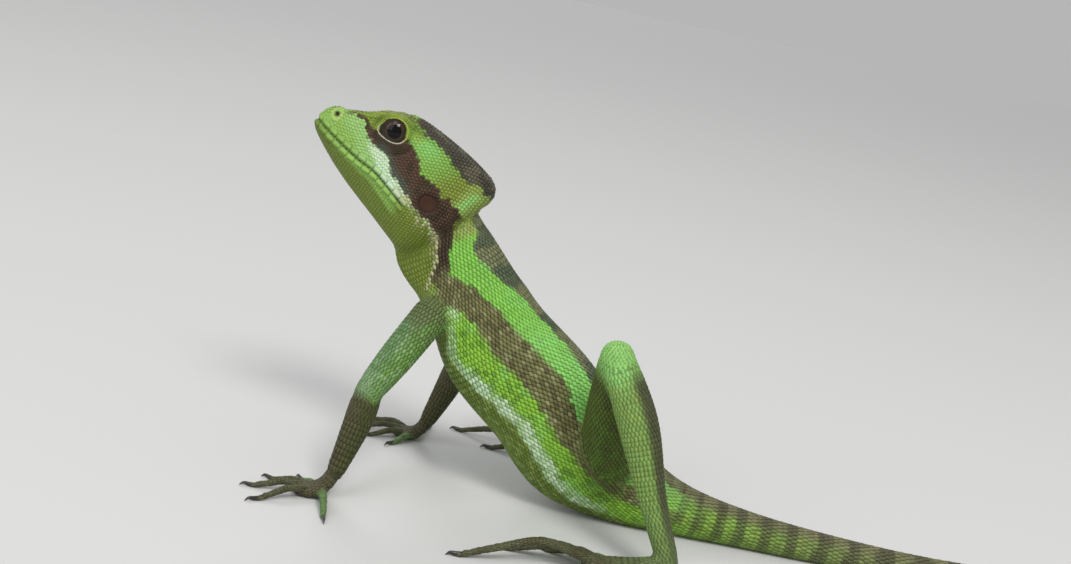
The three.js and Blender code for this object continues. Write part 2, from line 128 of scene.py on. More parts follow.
# Each digit: length, angle from straight ahead, arch, and how far back from the knuckles it starts.
FINGERS = (
    (7.5, -62, 1.0, 1.6),
    (11.0, -30, 1.5, 0.5),
    (13.5, -3, 1.9, 0),
    (14.0, 26, 1.9, 0.4),
    (11.0, 92, 1.7, 2.6),
)
TOES = (
    (9.5, -46, 1.2, 3.0),
    (15.0, -24, 2.4, 1.2),
    (22.5, -8, 3.6, 0.2),
    (33.0, 8, 5.4, 0),
    (17.0, 44, 2.4, 9.0),
)


# Curves

def smooth_path(points, u, closed=False, even=False):
    """Points of a Catmull-Rom curve at parameters u, spaced by distance where even is set."""
    points = np.asarray(points, float)
    u = np.atleast_1d(np.asarray(u, float))
    count = len(points)
    p = (count if closed else count - 1) * u
    cell = np.floor(p).astype(int)
    w = p - cell
    if closed:
        i0, i1, i2, i3 = ((cell + k) % count for k in (-1, 0, 1, 2))
        p0, p1, p2, p3 = points[i0], points[i1], points[i2], points[i3]
    else:
        over = cell >= count - 1
        cell = np.where(over, count - 2, cell)
        w = np.where(over, 1.0, w)
        padded = np.vstack((2 * points[0] - points[1], points, 2 * points[-1] - points[-2]))
        p0, p1, p2, p3 = (padded[cell + k] for k in range(4))
    w = w[:, None]
    if even:
        pairs = ((p0, p1), (p1, p2), (p2, p3))
        dt = [(((b[:, :3] - a[:, :3]) ** 2).sum(1) ** 0.25)[:, None] for a, b in pairs]
        dt[1] = np.where(dt[1] < 1e-4, 1.0, dt[1])
        dt[0] = np.where(dt[0] < 1e-4, dt[1], dt[0])
        dt[2] = np.where(dt[2] < 1e-4, dt[1], dt[2])
        t1 = ((p1 - p0) / dt[0] - (p2 - p0) / (dt[0] + dt[1]) + (p2 - p1) / dt[1]) * dt[1]
        t2 = ((p2 - p1) / dt[1] - (p3 - p1) / (dt[1] + dt[2]) + (p3 - p2) / dt[2]) * dt[1]
    else:
        t1 = 0.5 * (p2 - p0)
        t2 = 0.5 * (p3 - p1)
    return p1 + w * (t1 + w * ((-3 * p1 + 3 * p2 - 2 * t1 - t2) + w * (2 * p1 - 2 * p2 + t1 + t2)))


def unit(v):
    return v / np.maximum(np.linalg.norm(v, axis=-1, keepdims=True), 1e-9)


def tangent(points, u, even=False):
    u = np.atleast_1d(np.asarray(u, float))
    low = np.clip(u - 1e-4, 0, 1)
    high = np.clip(u + 1e-4, 0, 1)
    return unit(smooth_path(points, high, even=even) - smooth_path(points, low, even=even))


def ease(x, low, high):
    """0 below low, 1 above high, smooth between."""
    t = np.clip((x - low) / (high - low), 0, 1)
    return t * t * (3 - 2 * t)


# The spine, the head and the limbs as surfaces

def spine_frame(station):
    u = np.atleast_1d(station) / LAST
    centre = smooth_path(STATIONS[:, :3], u)
    along = tangent(STATIONS[:, :3], u)
    side = np.cross((0, 0, 1), along)
    side[:, 2] = 0
    side = unit(side)
    rise = unit(np.cross(along, side))
    size = smooth_path(STATIONS[:, 3:], u)
    return centre, along, side, rise, size


def spine_point(station, angle, grow=0.0):
    """The surface at a station and an angle from the back; the animal's right is positive."""
    station = np.atleast_1d(station)
    centre, _, side, rise, size = spine_frame(station)
    throat = np.clip(THROAT_END - station, 0, 1)
    high = np.cos(angle)
    pinch = np.where(high < 0, 1 + (0.1 + 0.32 * throat) * high, 1 - 0.12 * high)
    reach = np.where(high < 0, size[:, 1], size[:, 0]) + grow
    width = (size[:, 2] + grow) * np.sin(angle) * pinch
    return centre + side * width[:, None] + rise * (reach * high)[:, None]


def turned(v, axis, angle):
    axis = unit(np.asarray(axis, float))
    v = np.asarray(v, float)
    return v * cos(angle) + np.cross(axis, v) * sin(angle) + axis * (v @ axis) * (1 - cos(angle))


HEAD_BACK = np.array((cos(HEAD_PITCH), 0, -sin(HEAD_PITCH)))
HEAD_TALL = np.array((sin(HEAD_PITCH), 0, cos(HEAD_PITCH)))
HEAD_UP = turned(HEAD_TALL, HEAD_BACK, -HEAD_ROLL)
HEAD_SIDE = turned((0, 1, 0), HEAD_BACK, -HEAD_ROLL)
HEAD_FROM = SNOUT + HEAD_TALL * HEAD_PIVOT


def head_at(back, up, side):
    back, up, side = (np.atleast_1d(np.asarray(v, float))[:, None] for v in (back, up, side))
    return HEAD_FROM + HEAD_BACK * back + HEAD_UP * (up - HEAD_PIVOT) + HEAD_SIDE * side


def head_coords(points):
    rel = points - HEAD_FROM
    return rel @ HEAD_BACK, rel @ HEAD_UP + HEAD_PIVOT, rel @ HEAD_SIDE


def skull_point(u, v, grow=0.0):
    """The skull at u from snout to casque and v round it from the crown's middle; arrays of one length."""
    rows = smooth_path(SKULL, u)
    out = np.empty((len(rows), 3))
    for i, (back, crown, mouth, under, edge, cheek, lip, jaw) in enumerate(rows):
        deep = mouth - under
        half = [(edge * 0.55, crown - CROWN_DIP * 0.5), (edge, crown),
                ((edge + cheek) / 2, crown * 0.78 + mouth * 0.22), (cheek, crown * 0.42 + mouth * 0.58),
                (lip, mouth), (jaw, mouth - deep * 0.52), (jaw * 0.52, under + deep * 0.12)]
        outline = [(0, crown - CROWN_DIP), *half, (0, under), *[(-w, h) for w, h in half[::-1]]]
        outline = np.array([(w, h, 0) for w, h in outline])
        p = smooth_path(outline, v[i] % 1, closed=True, even=True)[0]
        middle = (crown + under) / 2
        away = np.array((p[0], p[1] - middle))
        away *= (np.linalg.norm(away) + grow) / max(np.linalg.norm(away), 1e-6)
        out[i] = head_at(back, middle + away[1], away[0])[0]
    return out


class Tube:
    """A limb or digit: a curve with a half-width and a half-depth along it."""

    def __init__(self, name, points, sizes, face=(0, 0, 1)):
        self.name = name
        self.points = np.array(points, float)
        self.sizes = np.array(sizes, float)
        self.face = np.array(face, float)
        fine = smooth_path(self.points, np.linspace(0, 1, 60), even=True)
        self.length = np.linalg.norm(np.diff(fine, axis=0), axis=1).sum()

    def frame(self, u):
        centre = smooth_path(self.points, u, even=True)
        along = tangent(self.points, u, even=True)
        side = unit(np.cross(self.face, along))
        rise = np.cross(along, side)
        return centre, along, side, rise, smooth_path(self.sizes, u)


def foot_point(place, centre, ahead, out, up):
    t = radians(place["turn"])
    forward = np.array((-cos(t), place["hand"] * sin(t), 0))
    outward = np.array((sin(t), place["hand"] * cos(t), 0))
    p = np.array((centre[0], centre[1], 0)) + forward * ahead + outward * out
    p[2] = up
    return p


def digit_path(place, centre, digit, thick):
    length, angle, arch, back = digit
    c, s = cos(radians(angle)), sin(radians(angle))
    spread = 1.6 * thick * sin(radians(angle) * 0.9)
    low = thick * 0.36

    def at(share, up):
        return foot_point(place, centre, -back + c * length * share, spread + s * length * share, up)

    return [at(-0.12, low + 1.0), at(0.16, low + 0.9 + arch * 0.45), at(0.45, low + 0.3 + arch),
            at(0.76, low + arch * 0.5), at(1.0, low)]


def mix(a, b, t):
    return np.asarray(a, float) * (1 - t) + np.asarray(b, float) * t


def at_height(p, z):
    return np.array((p[0], p[1], z))


def limb_tubes():
    """Every limb and digit as tubes, and each claw's path."""
    tubes, claws = [], []
    x_face = (1, 0, 0)
    for side, p in ARMS.items():
        palm = p["palm"]
        tubes.append(Tube(f"upper_arm_{side}", [p["root"], mix(p["root"], p["elbow"], 0.55), p["elbow"]],
                          [(4.4, 4.6), (4.0, 4.3), (3.3, 3.5)], x_face))
        fore = mix(p["elbow"], p["wrist"], 0.35) + (0.4, 0, 0)
        tubes.append(Tube(f"forearm_{side}", [p["elbow"], fore, p["wrist"]],
                          [(3.2, 3.4), (3.2, 3.5), (2.0, 2.2)], x_face))
        tubes.append(Tube(f"hand_{side}", [p["wrist"], at_height(mix(p["wrist"], palm, 0.45), 2.8), palm,
                                           foot_point(p, palm, 2.2, 0, 1.3)],
                          [(2.0, 2.0), (2.6, 1.8), (3.1, 1.8), (2.3, 1.4)]))
    for side, p in LEGS.items():
        sole = p["sole"]
        tubes.append(Tube(f"thigh_{side}", [p["root"], mix(p["root"], p["knee"], 0.5), p["knee"]],
                          [(6.8, 7.6), (5.8, 6.6), (3.8, 4.2)], x_face))
        calf = mix(p["knee"], p["heel"], 0.32) + (1.0, 0, 0)
        tubes.append(Tube(f"shank_{side}", [p["knee"], calf, mix(p["knee"], p["heel"], 0.7), p["heel"]],
                          [(3.7, 4.0), (4.5, 4.8), (3.1, 3.3), (2.5, 2.6)], x_face))
        tubes.append(Tube(f"foot_{side}", [p["heel"], at_height(mix(p["heel"], sole, 0.4), 3.0), sole,
                                           foot_point(p, sole, 2.6, 0, 1.6)],
                          [(2.4, 2.6), (2.6, 2.3), (3.5, 2.1), (2.6, 1.7)]))
    ends = (("hand", ARMS, "palm", FINGERS, FINGER), ("foot", LEGS, "sole", TOES, TOE))
    for kind, places, key, digits, thick in ends:
        for side, p in places.items():
            for number, digit in enumerate(digits, 1):
                path = digit_path(p, p[key], digit, thick)
                sizes = [(s * thick, s * thick * 0.92) for s in (1.1, 1.0, 0.9, 0.8, 0.62)]
                tubes.append(Tube(f"digit_{kind}_{side}_{number}", path, sizes))
                claws.append((f"claw_{kind}_{side}_{number}", path, thick))
    return tubes, claws


TUBES, CLAWS = limb_tubes()


# Meshes

def eye_centre(hand):
    return head_at(EYE_AT[0], EYE_AT[1], hand * EYE_AT[2])[0]


LOW, HIGH = (np.array(corner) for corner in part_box("eardrum_left"))
SHIFT = (LOW + HIGH) / 2 / MM - head_at(EAR_AT[0], EAR_AT[1], -EAR_DEPTH)[0]


def to_frame(points):
    return (np.asarray(points) + SHIFT) * MM


def placed(name, data):
    made = bpy.data.objects.new(name, data)
    bpy.context.scene.collection.objects.link(made)
    return made


def new_object(name, points, faces):
    mesh = bpy.data.meshes.new(name)
    mesh.from_pydata(to_frame(points).tolist(), [], faces)
    mesh.shade_smooth()
    mesh.update()
    return placed(name, mesh)


def grid_faces(rows, around, first=0):
    """Quads between rings of points, closed by a fan at each end whose middle is the last two points."""
    r, i = np.meshgrid(np.arange(rows - 1), np.arange(around), indexing="ij")
    j = (i + 1) % around
    this, after = r * around, (r + 1) * around
    quads = np.stack((this + i, this + j, after + j, after + i), -1).reshape(-1, 4)
    faces = (quads + first).tolist()
    for row, middle in ((0, rows * around), (rows - 1, rows * around + 1)):
        for k in range(around):
            a, b = row * around + k, row * around + (k + 1) % around
            face = (b, a, middle) if row == 0 else (a, b, middle)
            faces.append([v + first for v in face])
    return faces


class Soup:
    """Several closed bodies in one list of points and faces."""

    def __init__(self):
        self.points, self.faces, self.count = [], [], 0

    def add(self, rings):
        rows, around = len(rings), len(rings[0])
        points = np.vstack((*rings, rings[0].mean(0), rings[-1].mean(0)))
        self.faces += grid_faces(rows, around, self.count)
        self.points.append(points)
        self.count += len(points)


def tube_rings(tube, around, per_mm, grow, domes=(True, True)):
    rows = max(4, int(tube.length * per_mm))
    angle = np.linspace(0, 2 * pi, around, endpoint=False)
    rings = []

    def ring(u, shrink, shift):
        centre, along, side, rise, size = tube.frame(np.array([u]))
        centre = centre[0] + along[0] * shift
        wide, deep = (size[0] + grow) * shrink
        return centre + np.outer(np.cos(angle), side[0]) * wide + np.outer(np.sin(angle), rise[0]) * deep

    dome = (0.25, 0.5, 0.72, 0.9)
    if domes[0]:
        reach = tube.sizes[0].mean() + grow
        rings += [ring(0, s, -reach * (1 - s * s) ** 0.5) for s in dome]
    rings += [ring(u, 1, 0) for u in np.linspace(0, 1, rows)]
    if domes[1]:
        reach = tube.sizes[-1].mean() + grow
        rings += [ring(1, s, reach * (1 - s * s) ** 0.5) for s in dome[::-1]]
    return rings


SPINE_ROWS, SPINE_AROUND = 190, 56
SKULL_ROWS, SKULL_AROUND = 84, 72
LIMB_AROUND, DIGIT_AROUND = 28, 16
DIGIT_COAT = 0.05  # COAT, where a digit is


def body_soup():
    soup = Soup()
    angle = np.linspace(0, 2 * pi, SPINE_AROUND, endpoint=False)
    stations = np.linspace(0, LAST, SPINE_ROWS)
    soup.add([spine_point(np.full(SPINE_AROUND, s), angle, -COAT) for s in stations])
    v = np.linspace(0, 1, SKULL_AROUND, endpoint=False)
    soup.add([skull_point(np.full(SKULL_AROUND, u), v, -COAT) for u in np.linspace(0, 1, SKULL_ROWS)])
    for tube in TUBES:
        digit = tube.name.startswith("digit")
        around, inside = (DIGIT_AROUND, DIGIT_COAT) if digit else (LIMB_AROUND, COAT)
        soup.add(tube_rings(tube, around, 1.2, -inside))
    return soup


VOXEL = 0.5  # how fine the skin is


def remeshed(soup):
    made = new_object("skin", np.vstack(soup.points), soup.faces)
    change = made.modifiers.new("grow", "REMESH")
    change.mode = "VOXEL"
    change.voxel_size = VOXEL * MM
    change.use_smooth_shade = True
    ready = bpy.data.meshes.new_from_object(made.evaluated_get(bpy.context.evaluated_depsgraph_get()))
    made.modifiers.clear()
    old = made.data
    made.data = ready
    bpy.data.meshes.remove(old)
    ready.name = "skin"
    ready.shade_smooth()
    return made


def mesh_points(mesh):
    flat = np.empty(len(mesh.vertices) * 3)
    mesh.vertices.foreach_get("co", flat)
    return flat.reshape(-1, 3) / MM - SHIFT


def set_points(mesh, points):
    mesh.vertices.foreach_set("co", to_frame(points).ravel())
    mesh.update()


def smoothed(points, edges, weight, rounds):
    """Laplacian smoothing, each point by its own weight."""
    count = len(points)
    a, b = edges[:, 0], edges[:, 1]
    degree = np.bincount(a, minlength=count) + np.bincount(b, minlength=count)
    degree = np.maximum(degree, 1)[:, None]
    for _ in range(rounds):
        total = np.stack([np.bincount(a, points[b, k], count) + np.bincount(b, points[a, k], count)
                          for k in range(3)], 1)
        points = points + (total / degree - points) * weight[:, None]
    return points


# Where a point is on the body

FINE = np.linspace(0, LAST, 1600)
FINE_POINTS = smooth_path(STATIONS[:, :3], FINE / LAST)


def nearest(points, path):
    """Index of the nearest point of a path, in lots."""
    out = np.empty(len(points), int)
    for start in range(0, len(points), 4000):
        lot = points[start:start + 4000]
        out[start:start + 4000] = ((lot[:, None] - path[None]) ** 2).sum(2).argmin(1)
    return out


def spine_coords(points):
    """Station, angle from the back, and how far out the point is as a share of the surface there."""
    station = FINE[nearest(points, FINE_POINTS)]
    centre, _, side, rise, size = spine_frame(station)
    rel = points - centre
    x = (rel * side).sum(1)
    y = (rel * rise).sum(1)
    angle = np.arctan2(x / size[:, 2], y / np.where(y < 0, size[:, 1], size[:, 0]))
    surface = spine_point(station, angle)
    share = np.hypot(x, y) / np.maximum(np.linalg.norm(surface - centre, axis=1), 1e-6)
    return station, angle, share


def tube_coords(points, tube):
    u = np.linspace(0, 1, 50)
    path = smooth_path(tube.points, u, even=True)
    at = u[nearest(points, path)]
    centre, along, side, rise, size = tube.frame(at)
    rel = points - centre
    x, y, z = ((rel * axis).sum(1) for axis in (side, rise, along))
    share = np.sqrt((x / size[:, 0]) ** 2 + (y / size[:, 1]) ** 2 + (z / size.mean(1)) ** 2)
    return at, np.arctan2(y, x), share


def skull_share(points):
    """How far out a point is from the skull's middle line, as a share of the surface."""
    back, up, side = head_coords(points)
    rows = np.stack([np.interp(back, SKULL[:, 0], SKULL[:, k]) for k in range(8)], 1)
    crown, under = rows[:, 1], rows[:, 3]
    middle = (crown + under) / 2
    wide = np.maximum(rows[:, 5], rows[:, 6])
    tall = np.maximum((crown - under) / 2, 0.5)
    outside = np.maximum(back - SKULL[-1, 0], 0) + np.maximum(-back, 0)
    return np.hypot((up - middle) / tall, side / np.maximum(wide, 0.5)) + outside


def coordinates(points):
    """For each point and each region (0 spine, 1 head, then the tubes): its place along it and round it,
    and how far out it lies as a share of that region's surface."""
    count = len(points)
    share = np.full((count, 2 + len(TUBES)), 9.0)
    along = np.zeros((count, 2 + len(TUBES)))
    round_ = np.zeros((count, 2 + len(TUBES)))
    along[:, 0], round_[:, 0], share[:, 0] = spine_coords(points)
    share[:, 1] = skull_share(points)
    for k, tube in enumerate(TUBES, 2):
        near = np.all((points > tube.points.min(0) - 10) & (points < tube.points.max(0) + 10), 1)
        if near.any():
            along[near, k], round_[near, k], share[near, k] = tube_coords(points[near], tube)
    return along, round_, share


# Shaping the skin

def curve_height(table, x):
    """A named run of (x, y) pairs read at x."""
    table = np.array(table, float)
    return np.interp(x, table[:, 0], table[:, 1])


LID = 0.35  # how far the lids stand out over the eye
LID_BEND = 1.3  # how much further from the eye the lower lid's fold lies than the upper's
NOSTRIL = (3.3, 4.8)
BROW = ((7, 7.6), (9, 9.4), (13, 13.2), (17.5, 15.2), (22, 15.6), (27, 15.0))


def bell(x, width):
    return np.exp(-((x / width) ** 2))


def eye_polar(back, up):
    """Distance from the eye's middle, and the angle in degrees from straight back."""
    x, y = back - EYE_AT[0], up - EYE_AT[1]
    return np.hypot(x, y), np.degrees(np.arctan2(y, x)) % 360


def lid_opening(angle):
    """How far the lids stand open from the eye's middle; they meet in a corner low in front of it."""
    return 3.05 + 1.0 * bell(angle - 210, 25) - 0.55 * bell(angle - 285, 45)


def lid_fold(angle):
    """How far out the fold lies where the lids meet the brow and the cheek."""
    below = 1 - ease(np.abs(angle - 280), 55, 120)
    return 4.2 + LID_BEND * below


def mouth_height(back):
    return np.interp(back, SKULL[:, 0], SKULL[:, 2])


def shape_head(points, normals, on_head):
    back, up, side = head_coords(points)
    out = np.zeros(len(points))
    across = np.abs(side)
    lip = up - mouth_height(back)
    mouth = 1 - ease(back, MOUTH_END - 1, MOUTH_END + 1.5)
    out += mouth * (0.22 * bell(np.abs(lip) - 1.0, 0.5) - 0.5 * bell(lip, 0.3))
    brow = np.interp(back, *np.array(BROW).T)
    ridge = ease(back, 6, 11) * (1 - ease(back, 23, 28)) * ease(across, 2, 4)
    out += 0.6 * bell(up - brow + 0.3, 0.9) * ridge
    nostril = np.hypot(back - NOSTRIL[0], up - NOSTRIL[1])
    out += (0.25 * bell(nostril - 1.1, 0.45) - 1.0 * bell(nostril, 0.55)) * ease(across, 1.2, 2)
    ear = np.hypot(back - EAR_AT[0], (up - EAR_AT[1]) * 1.1)
    out += (0.15 * bell(ear - 3.1, 0.6) - 0.5 * (1 - ease(ear, 1.9, 2.8))) * ease(across, 3, 5)
    reach, angle = eye_polar(back, up)
    fold = lid_fold(angle)
    out += (0.45 * (1 - ease(reach, 2.8, fold)) - 0.3 * bell(reach - fold, 0.38)) * ease(across, 3, 5)
    moved = points + normals * (out * on_head)[:, None]
    share = reach / lid_opening(angle)
    lid, sunk = EYE_R + LID, EYE_R - 1.2
    for hand in (-1, 1):
        centre = eye_centre(hand)
        rel = moved - centre
        far = np.linalg.norm(rel, axis=1)
        mine = (side * hand > 2) & (on_head > 0.5) & (far < EYE_R + 1.8)
        target = np.where(share > 1, np.maximum(far, lid), sunk + (lid - sunk) * ease(share, 0.84, 1.0))
        scale = np.where(mine, target / np.maximum(far, 1e-6), 1)
        moved = centre + rel * scale[:, None]
    return moved


def grow_skin():
    """The whole animal as one surface, rounded where limbs meet the body, with the head's features."""
    made = remeshed(body_soup())
    mesh = made.data
    points = mesh_points(mesh)
    edges = np.empty(len(mesh.edges) * 2, int)
    mesh.edges.foreach_get("vertices", edges)
    edges = edges.reshape(-1, 2)
    share = coordinates(points)[2]
    two = np.sort(np.where(share < 8, np.abs(share - 1), 9), axis=1)[:, 1]
    joint = 1 - ease(two, 0.05, 0.35)
    points = smoothed(points, edges, np.full(len(points), 0.5), 2)
    digit = np.array([t.name.startswith("digit") for t in TUBES])
    small = share[:, 2:][:, digit].min(1) < 1.3
    points = smoothed(points, edges, 0.6 * joint * np.where(small, 0.25, 1), 14)
    set_points(mesh, points)
    points = shape_head(points, mesh_normals(mesh), (share[:, 1] < 1.35).astype(float))
    points[:, 2] = np.maximum(points[:, 2], 0.02)
    set_points(mesh, points)
    return made


def mesh_normals(mesh):
    flat = np.empty(len(mesh.vertices) * 3)
    mesh.vertex_normals.foreach_get("vector", flat)
    return flat.reshape(-1, 3)


# Markings, as colours that depend on where a point is on the body

def srgb(r, g, b):
    c = np.array((r, g, b)) / 255
    return np.where(c <= 0.04045, c / 12.92, ((c + 0.055) / 1.055) ** 2.4)


LATTICE = RNG.random((24, 24, 24))


def noise(points, size, seed=0):
    """Soft lumps of about the given size, from 0 to 1."""
    p = points / size + seed * 7.31
    cell = np.floor(p).astype(int)
    w = p - cell
    w = w * w * (3 - 2 * w)
    total = 0
    for corner in range(8):
        bit = [(corner >> k) & 1 for k in range(3)]
        at = (cell + bit) % 24
        weight = np.prod([w[:, k] if bit[k] else 1 - w[:, k] for k in range(3)], axis=0)
        total = total + LATTICE[at[:, 0], at[:, 1], at[:, 2]] * weight
    return total


def blend(base, colour, amount):
    amount = np.clip(amount, 0, 1)[:, None]
    return base * (1 - amount) + colour * amount


BRIGHT = srgb(124, 186, 74)
STRIPE_REAR = srgb(132, 196, 98)
MINT = srgb(138, 214, 124)
WHITE = srgb(194, 218, 184)
BONE = srgb(184, 180, 140)
LIME = srgb(136, 176, 84)
CHEEK = srgb(146, 188, 110)
NAPE = srgb(144, 164, 80)
NAPE_DARK = srgb(94, 104, 34)
OLIVE_YELLOW = srgb(124, 134, 50)
BROW_GREEN = srgb(122, 146, 52)
THROAT = srgb(110, 128, 44)
JAW = srgb(104, 124, 46)
DARK = srgb(76, 54, 40)
DARK_GREY = srgb(72, 80, 66)
NECK_DARK = srgb(58, 46, 28)
SLATE = srgb(74, 86, 64)
CASQUE = srgb(68, 66, 54)
CASQUE_PALE = srgb(98, 92, 74)
LIGHT_BACK = srgb(114, 118, 84)
BROWN = srgb(108, 108, 66)
BROWN_DARK = srgb(70, 62, 38)
BROWN_PALE = srgb(150, 154, 108)
FLANK = srgb(132, 184, 56)
FLANK_DARK = srgb(88, 130, 40)
# the belly's own olive, darkened further with painted shade
SHADED_BELLY = srgb(96, 118, 36)
BELLY_PALE = srgb(128, 152, 72)
ARM_FRONT = srgb(94, 128, 78)
ARM_REAR = srgb(98, 136, 64)
SHOULDER = srgb(92, 102, 60)
ELBOW = srgb(116, 146, 102)
FOREARM = srgb(74, 72, 44)
FOREARM_REAR = srgb(68, 74, 36)
DIGIT = srgb(80, 76, 54)
PALE_DIGIT = srgb(106, 142, 84)
KNEE = srgb(136, 190, 104)
THIGH = srgb(80, 98, 34)
SHANK = srgb(120, 152, 78)
SHANK_REAR = srgb(66, 64, 44)
FOOT = srgb(96, 112, 68)
TAIL = srgb(112, 112, 78)
TAIL_BAND = srgb(66, 64, 46)
EAR = srgb(58, 40, 29)
# painted shade in the crease of the lids' fold
LID_FOLD_SHADE = srgb(82, 86, 36)
BROW_EDGE = srgb(164, 184, 84)
CROWN_OLIVE = srgb(104, 118, 58)
TEMPLE = srgb(126, 168, 72)
TEMPLE_SPOT = srgb(148, 162, 64)
TEMPLE_PATCH = srgb(148, 204, 112)
NOSTRIL_RING = srgb(184, 204, 122)
# painted shade inside the nostril's opening
NOSTRIL_SHADE = srgb(34, 30, 22)
MOUTH_LINE = srgb(44, 54, 24)
IRIS = srgb(50, 40, 30)
IRIS_EDGE = srgb(34, 26, 22)
IRIS_RING = srgb(86, 70, 50)
IRIS_STREAK = srgb(40, 30, 26)
PUPIL_BLACK = srgb(5, 4, 4)
RIM_UPPER = srgb(150, 168, 66)
RIM_LOWER = srgb(176, 178, 156)
EARDRUM = srgb(72, 44, 32)
CLAW = srgb(58, 50, 40)
CLAW_DARK = srgb(26, 22, 20)

# Angles from the back, in degrees, by station
STRIPE_TOP = (
    (0.2, 26), (1.06, 32), (1.34, 50), (1.73, 56), (1.97, 51), (2.34, 43), (2.76, 31), (3.22, 23),
    (3.74, 19), (4.33, 17), (4.66, 19), (4.93, 22), (5.15, 25), (6.2, 27), (7.4, 34),
)
STRIPE_LOW = (
    (0.3, 58), (0.46, 63), (0.61, 67), (1.0, 75), (1.33, 88), (1.6, 97), (1.73, 101), (2.0, 92),
    (2.36, 76), (2.73, 71), (3.13, 63), (3.47, 57), (4.0, 52.5), (4.67, 52.5), (4.95, 54),
    (5.24, 61), (5.51, 68), (6.4, 76), (7.4, 80),
)
BAND_LOW = (
    (0.3, 89), (0.6, 91), (1.0, 98), (1.32, 108), (1.6, 127), (1.88, 144), (2.2, 144), (2.45, 128),
    (2.6, 114), (2.8, 101), (3.13, 95.5), (3.42, 92), (3.72, 88), (4.12, 86), (4.43, 84),
    (4.66, 85), (5.0, 88), (5.43, 93), (6.2, 97), (7.4, 100),
)
WHITE_ROW = (
    (2.9, 122), (3.3, 131), (3.65, 138), (3.9, 129), (4.2, 121), (4.5, 117), (4.9, 115), (5.2, 115),
    (5.45, 119), (5.75, 121), (6.1, 127), (6.6, 132), (7.4, 134),
)
SADDLES = (
    (0.8, 1.66, 0.9), (2.1, 2.84, 1.0), (3.6, 4.35, 1.0), (4.9, 5.35, 1.0), (5.95, 6.5, 0.9),
    (7.0, 7.5, 0.9),
)
# Heights in the head's own axes, by distance back from the snout
CASQUE_LOW = (
    (0, 20), (17, 20), (19.3, 15.9), (21.2, 15.4), (22.4, 14.4), (25.4, 14.8), (27.4, 14.2),
    (30, 13.8), (33.5, 13.2), (35.5, 12.3), (37.5, 12.1), (40.4, 13.0), (42.2, 12.7), (45, 12),
)
DARK_TOP = (
    (4, 6.4), (6.6, 8.3), (8.3, 8.9), (10.1, 8.6), (12.1, 7.9), (16.6, 10.6), (19, 11.4),
    (20.8, 11.0), (22.6, 10.3), (24.4, 9.5), (26, 8.5), (27.2, 6.9), (31.2, 6.8), (33.2, 6.6),
    (34.8, 5.8), (36, 6.6), (38.2, 6.0), (40.5, 5.5), (46, 3),
)
DARK_LOW = (
    (4, 5.9), (6.7, 7.5), (8.4, 8.0), (10.1, 7.7), (11.2, 6.4), (12.8, 5.4), (15.2, 4.9),
    (17.3, 5.0), (19.2, 4.7), (21, 3.3), (23.5, 2.3), (26.1, 1.5), (27.9, 0.7), (30.3, 0.0),
    (32.6, -0.4), (34.9, -0.5), (36.9, -0.8), (39, -2.0), (40.7, -3.8), (46, -8),
)
MINT_LOW = (
    (0, 8), (10, 7), (12.5, 4.4), (14.1, 3.5), (16.3, 2.7), (18.1, 1.7), (20.1, 1.0), (22.4, -0.1),
    (24.5, -0.7), (26.5, -0.9), (28.6, -0.8), (30.7, -0.9), (32.9, -1.0), (34.4, -1.2),
    (36.7, -1.7), (38.5, -2.8), (40.5, -4.6), (42, -7),
)


def plain(colour, count):
    return np.broadcast_to(colour, (count, 3))


def throat_share(station, theta):
    """1 where the skin is the throat's, which is finer and smoother than the neck's."""
    band = curve_height(BAND_LOW, station)
    return ease(theta, band + 4, band + 16) * (1 - ease(station, 2.1, 2.5))


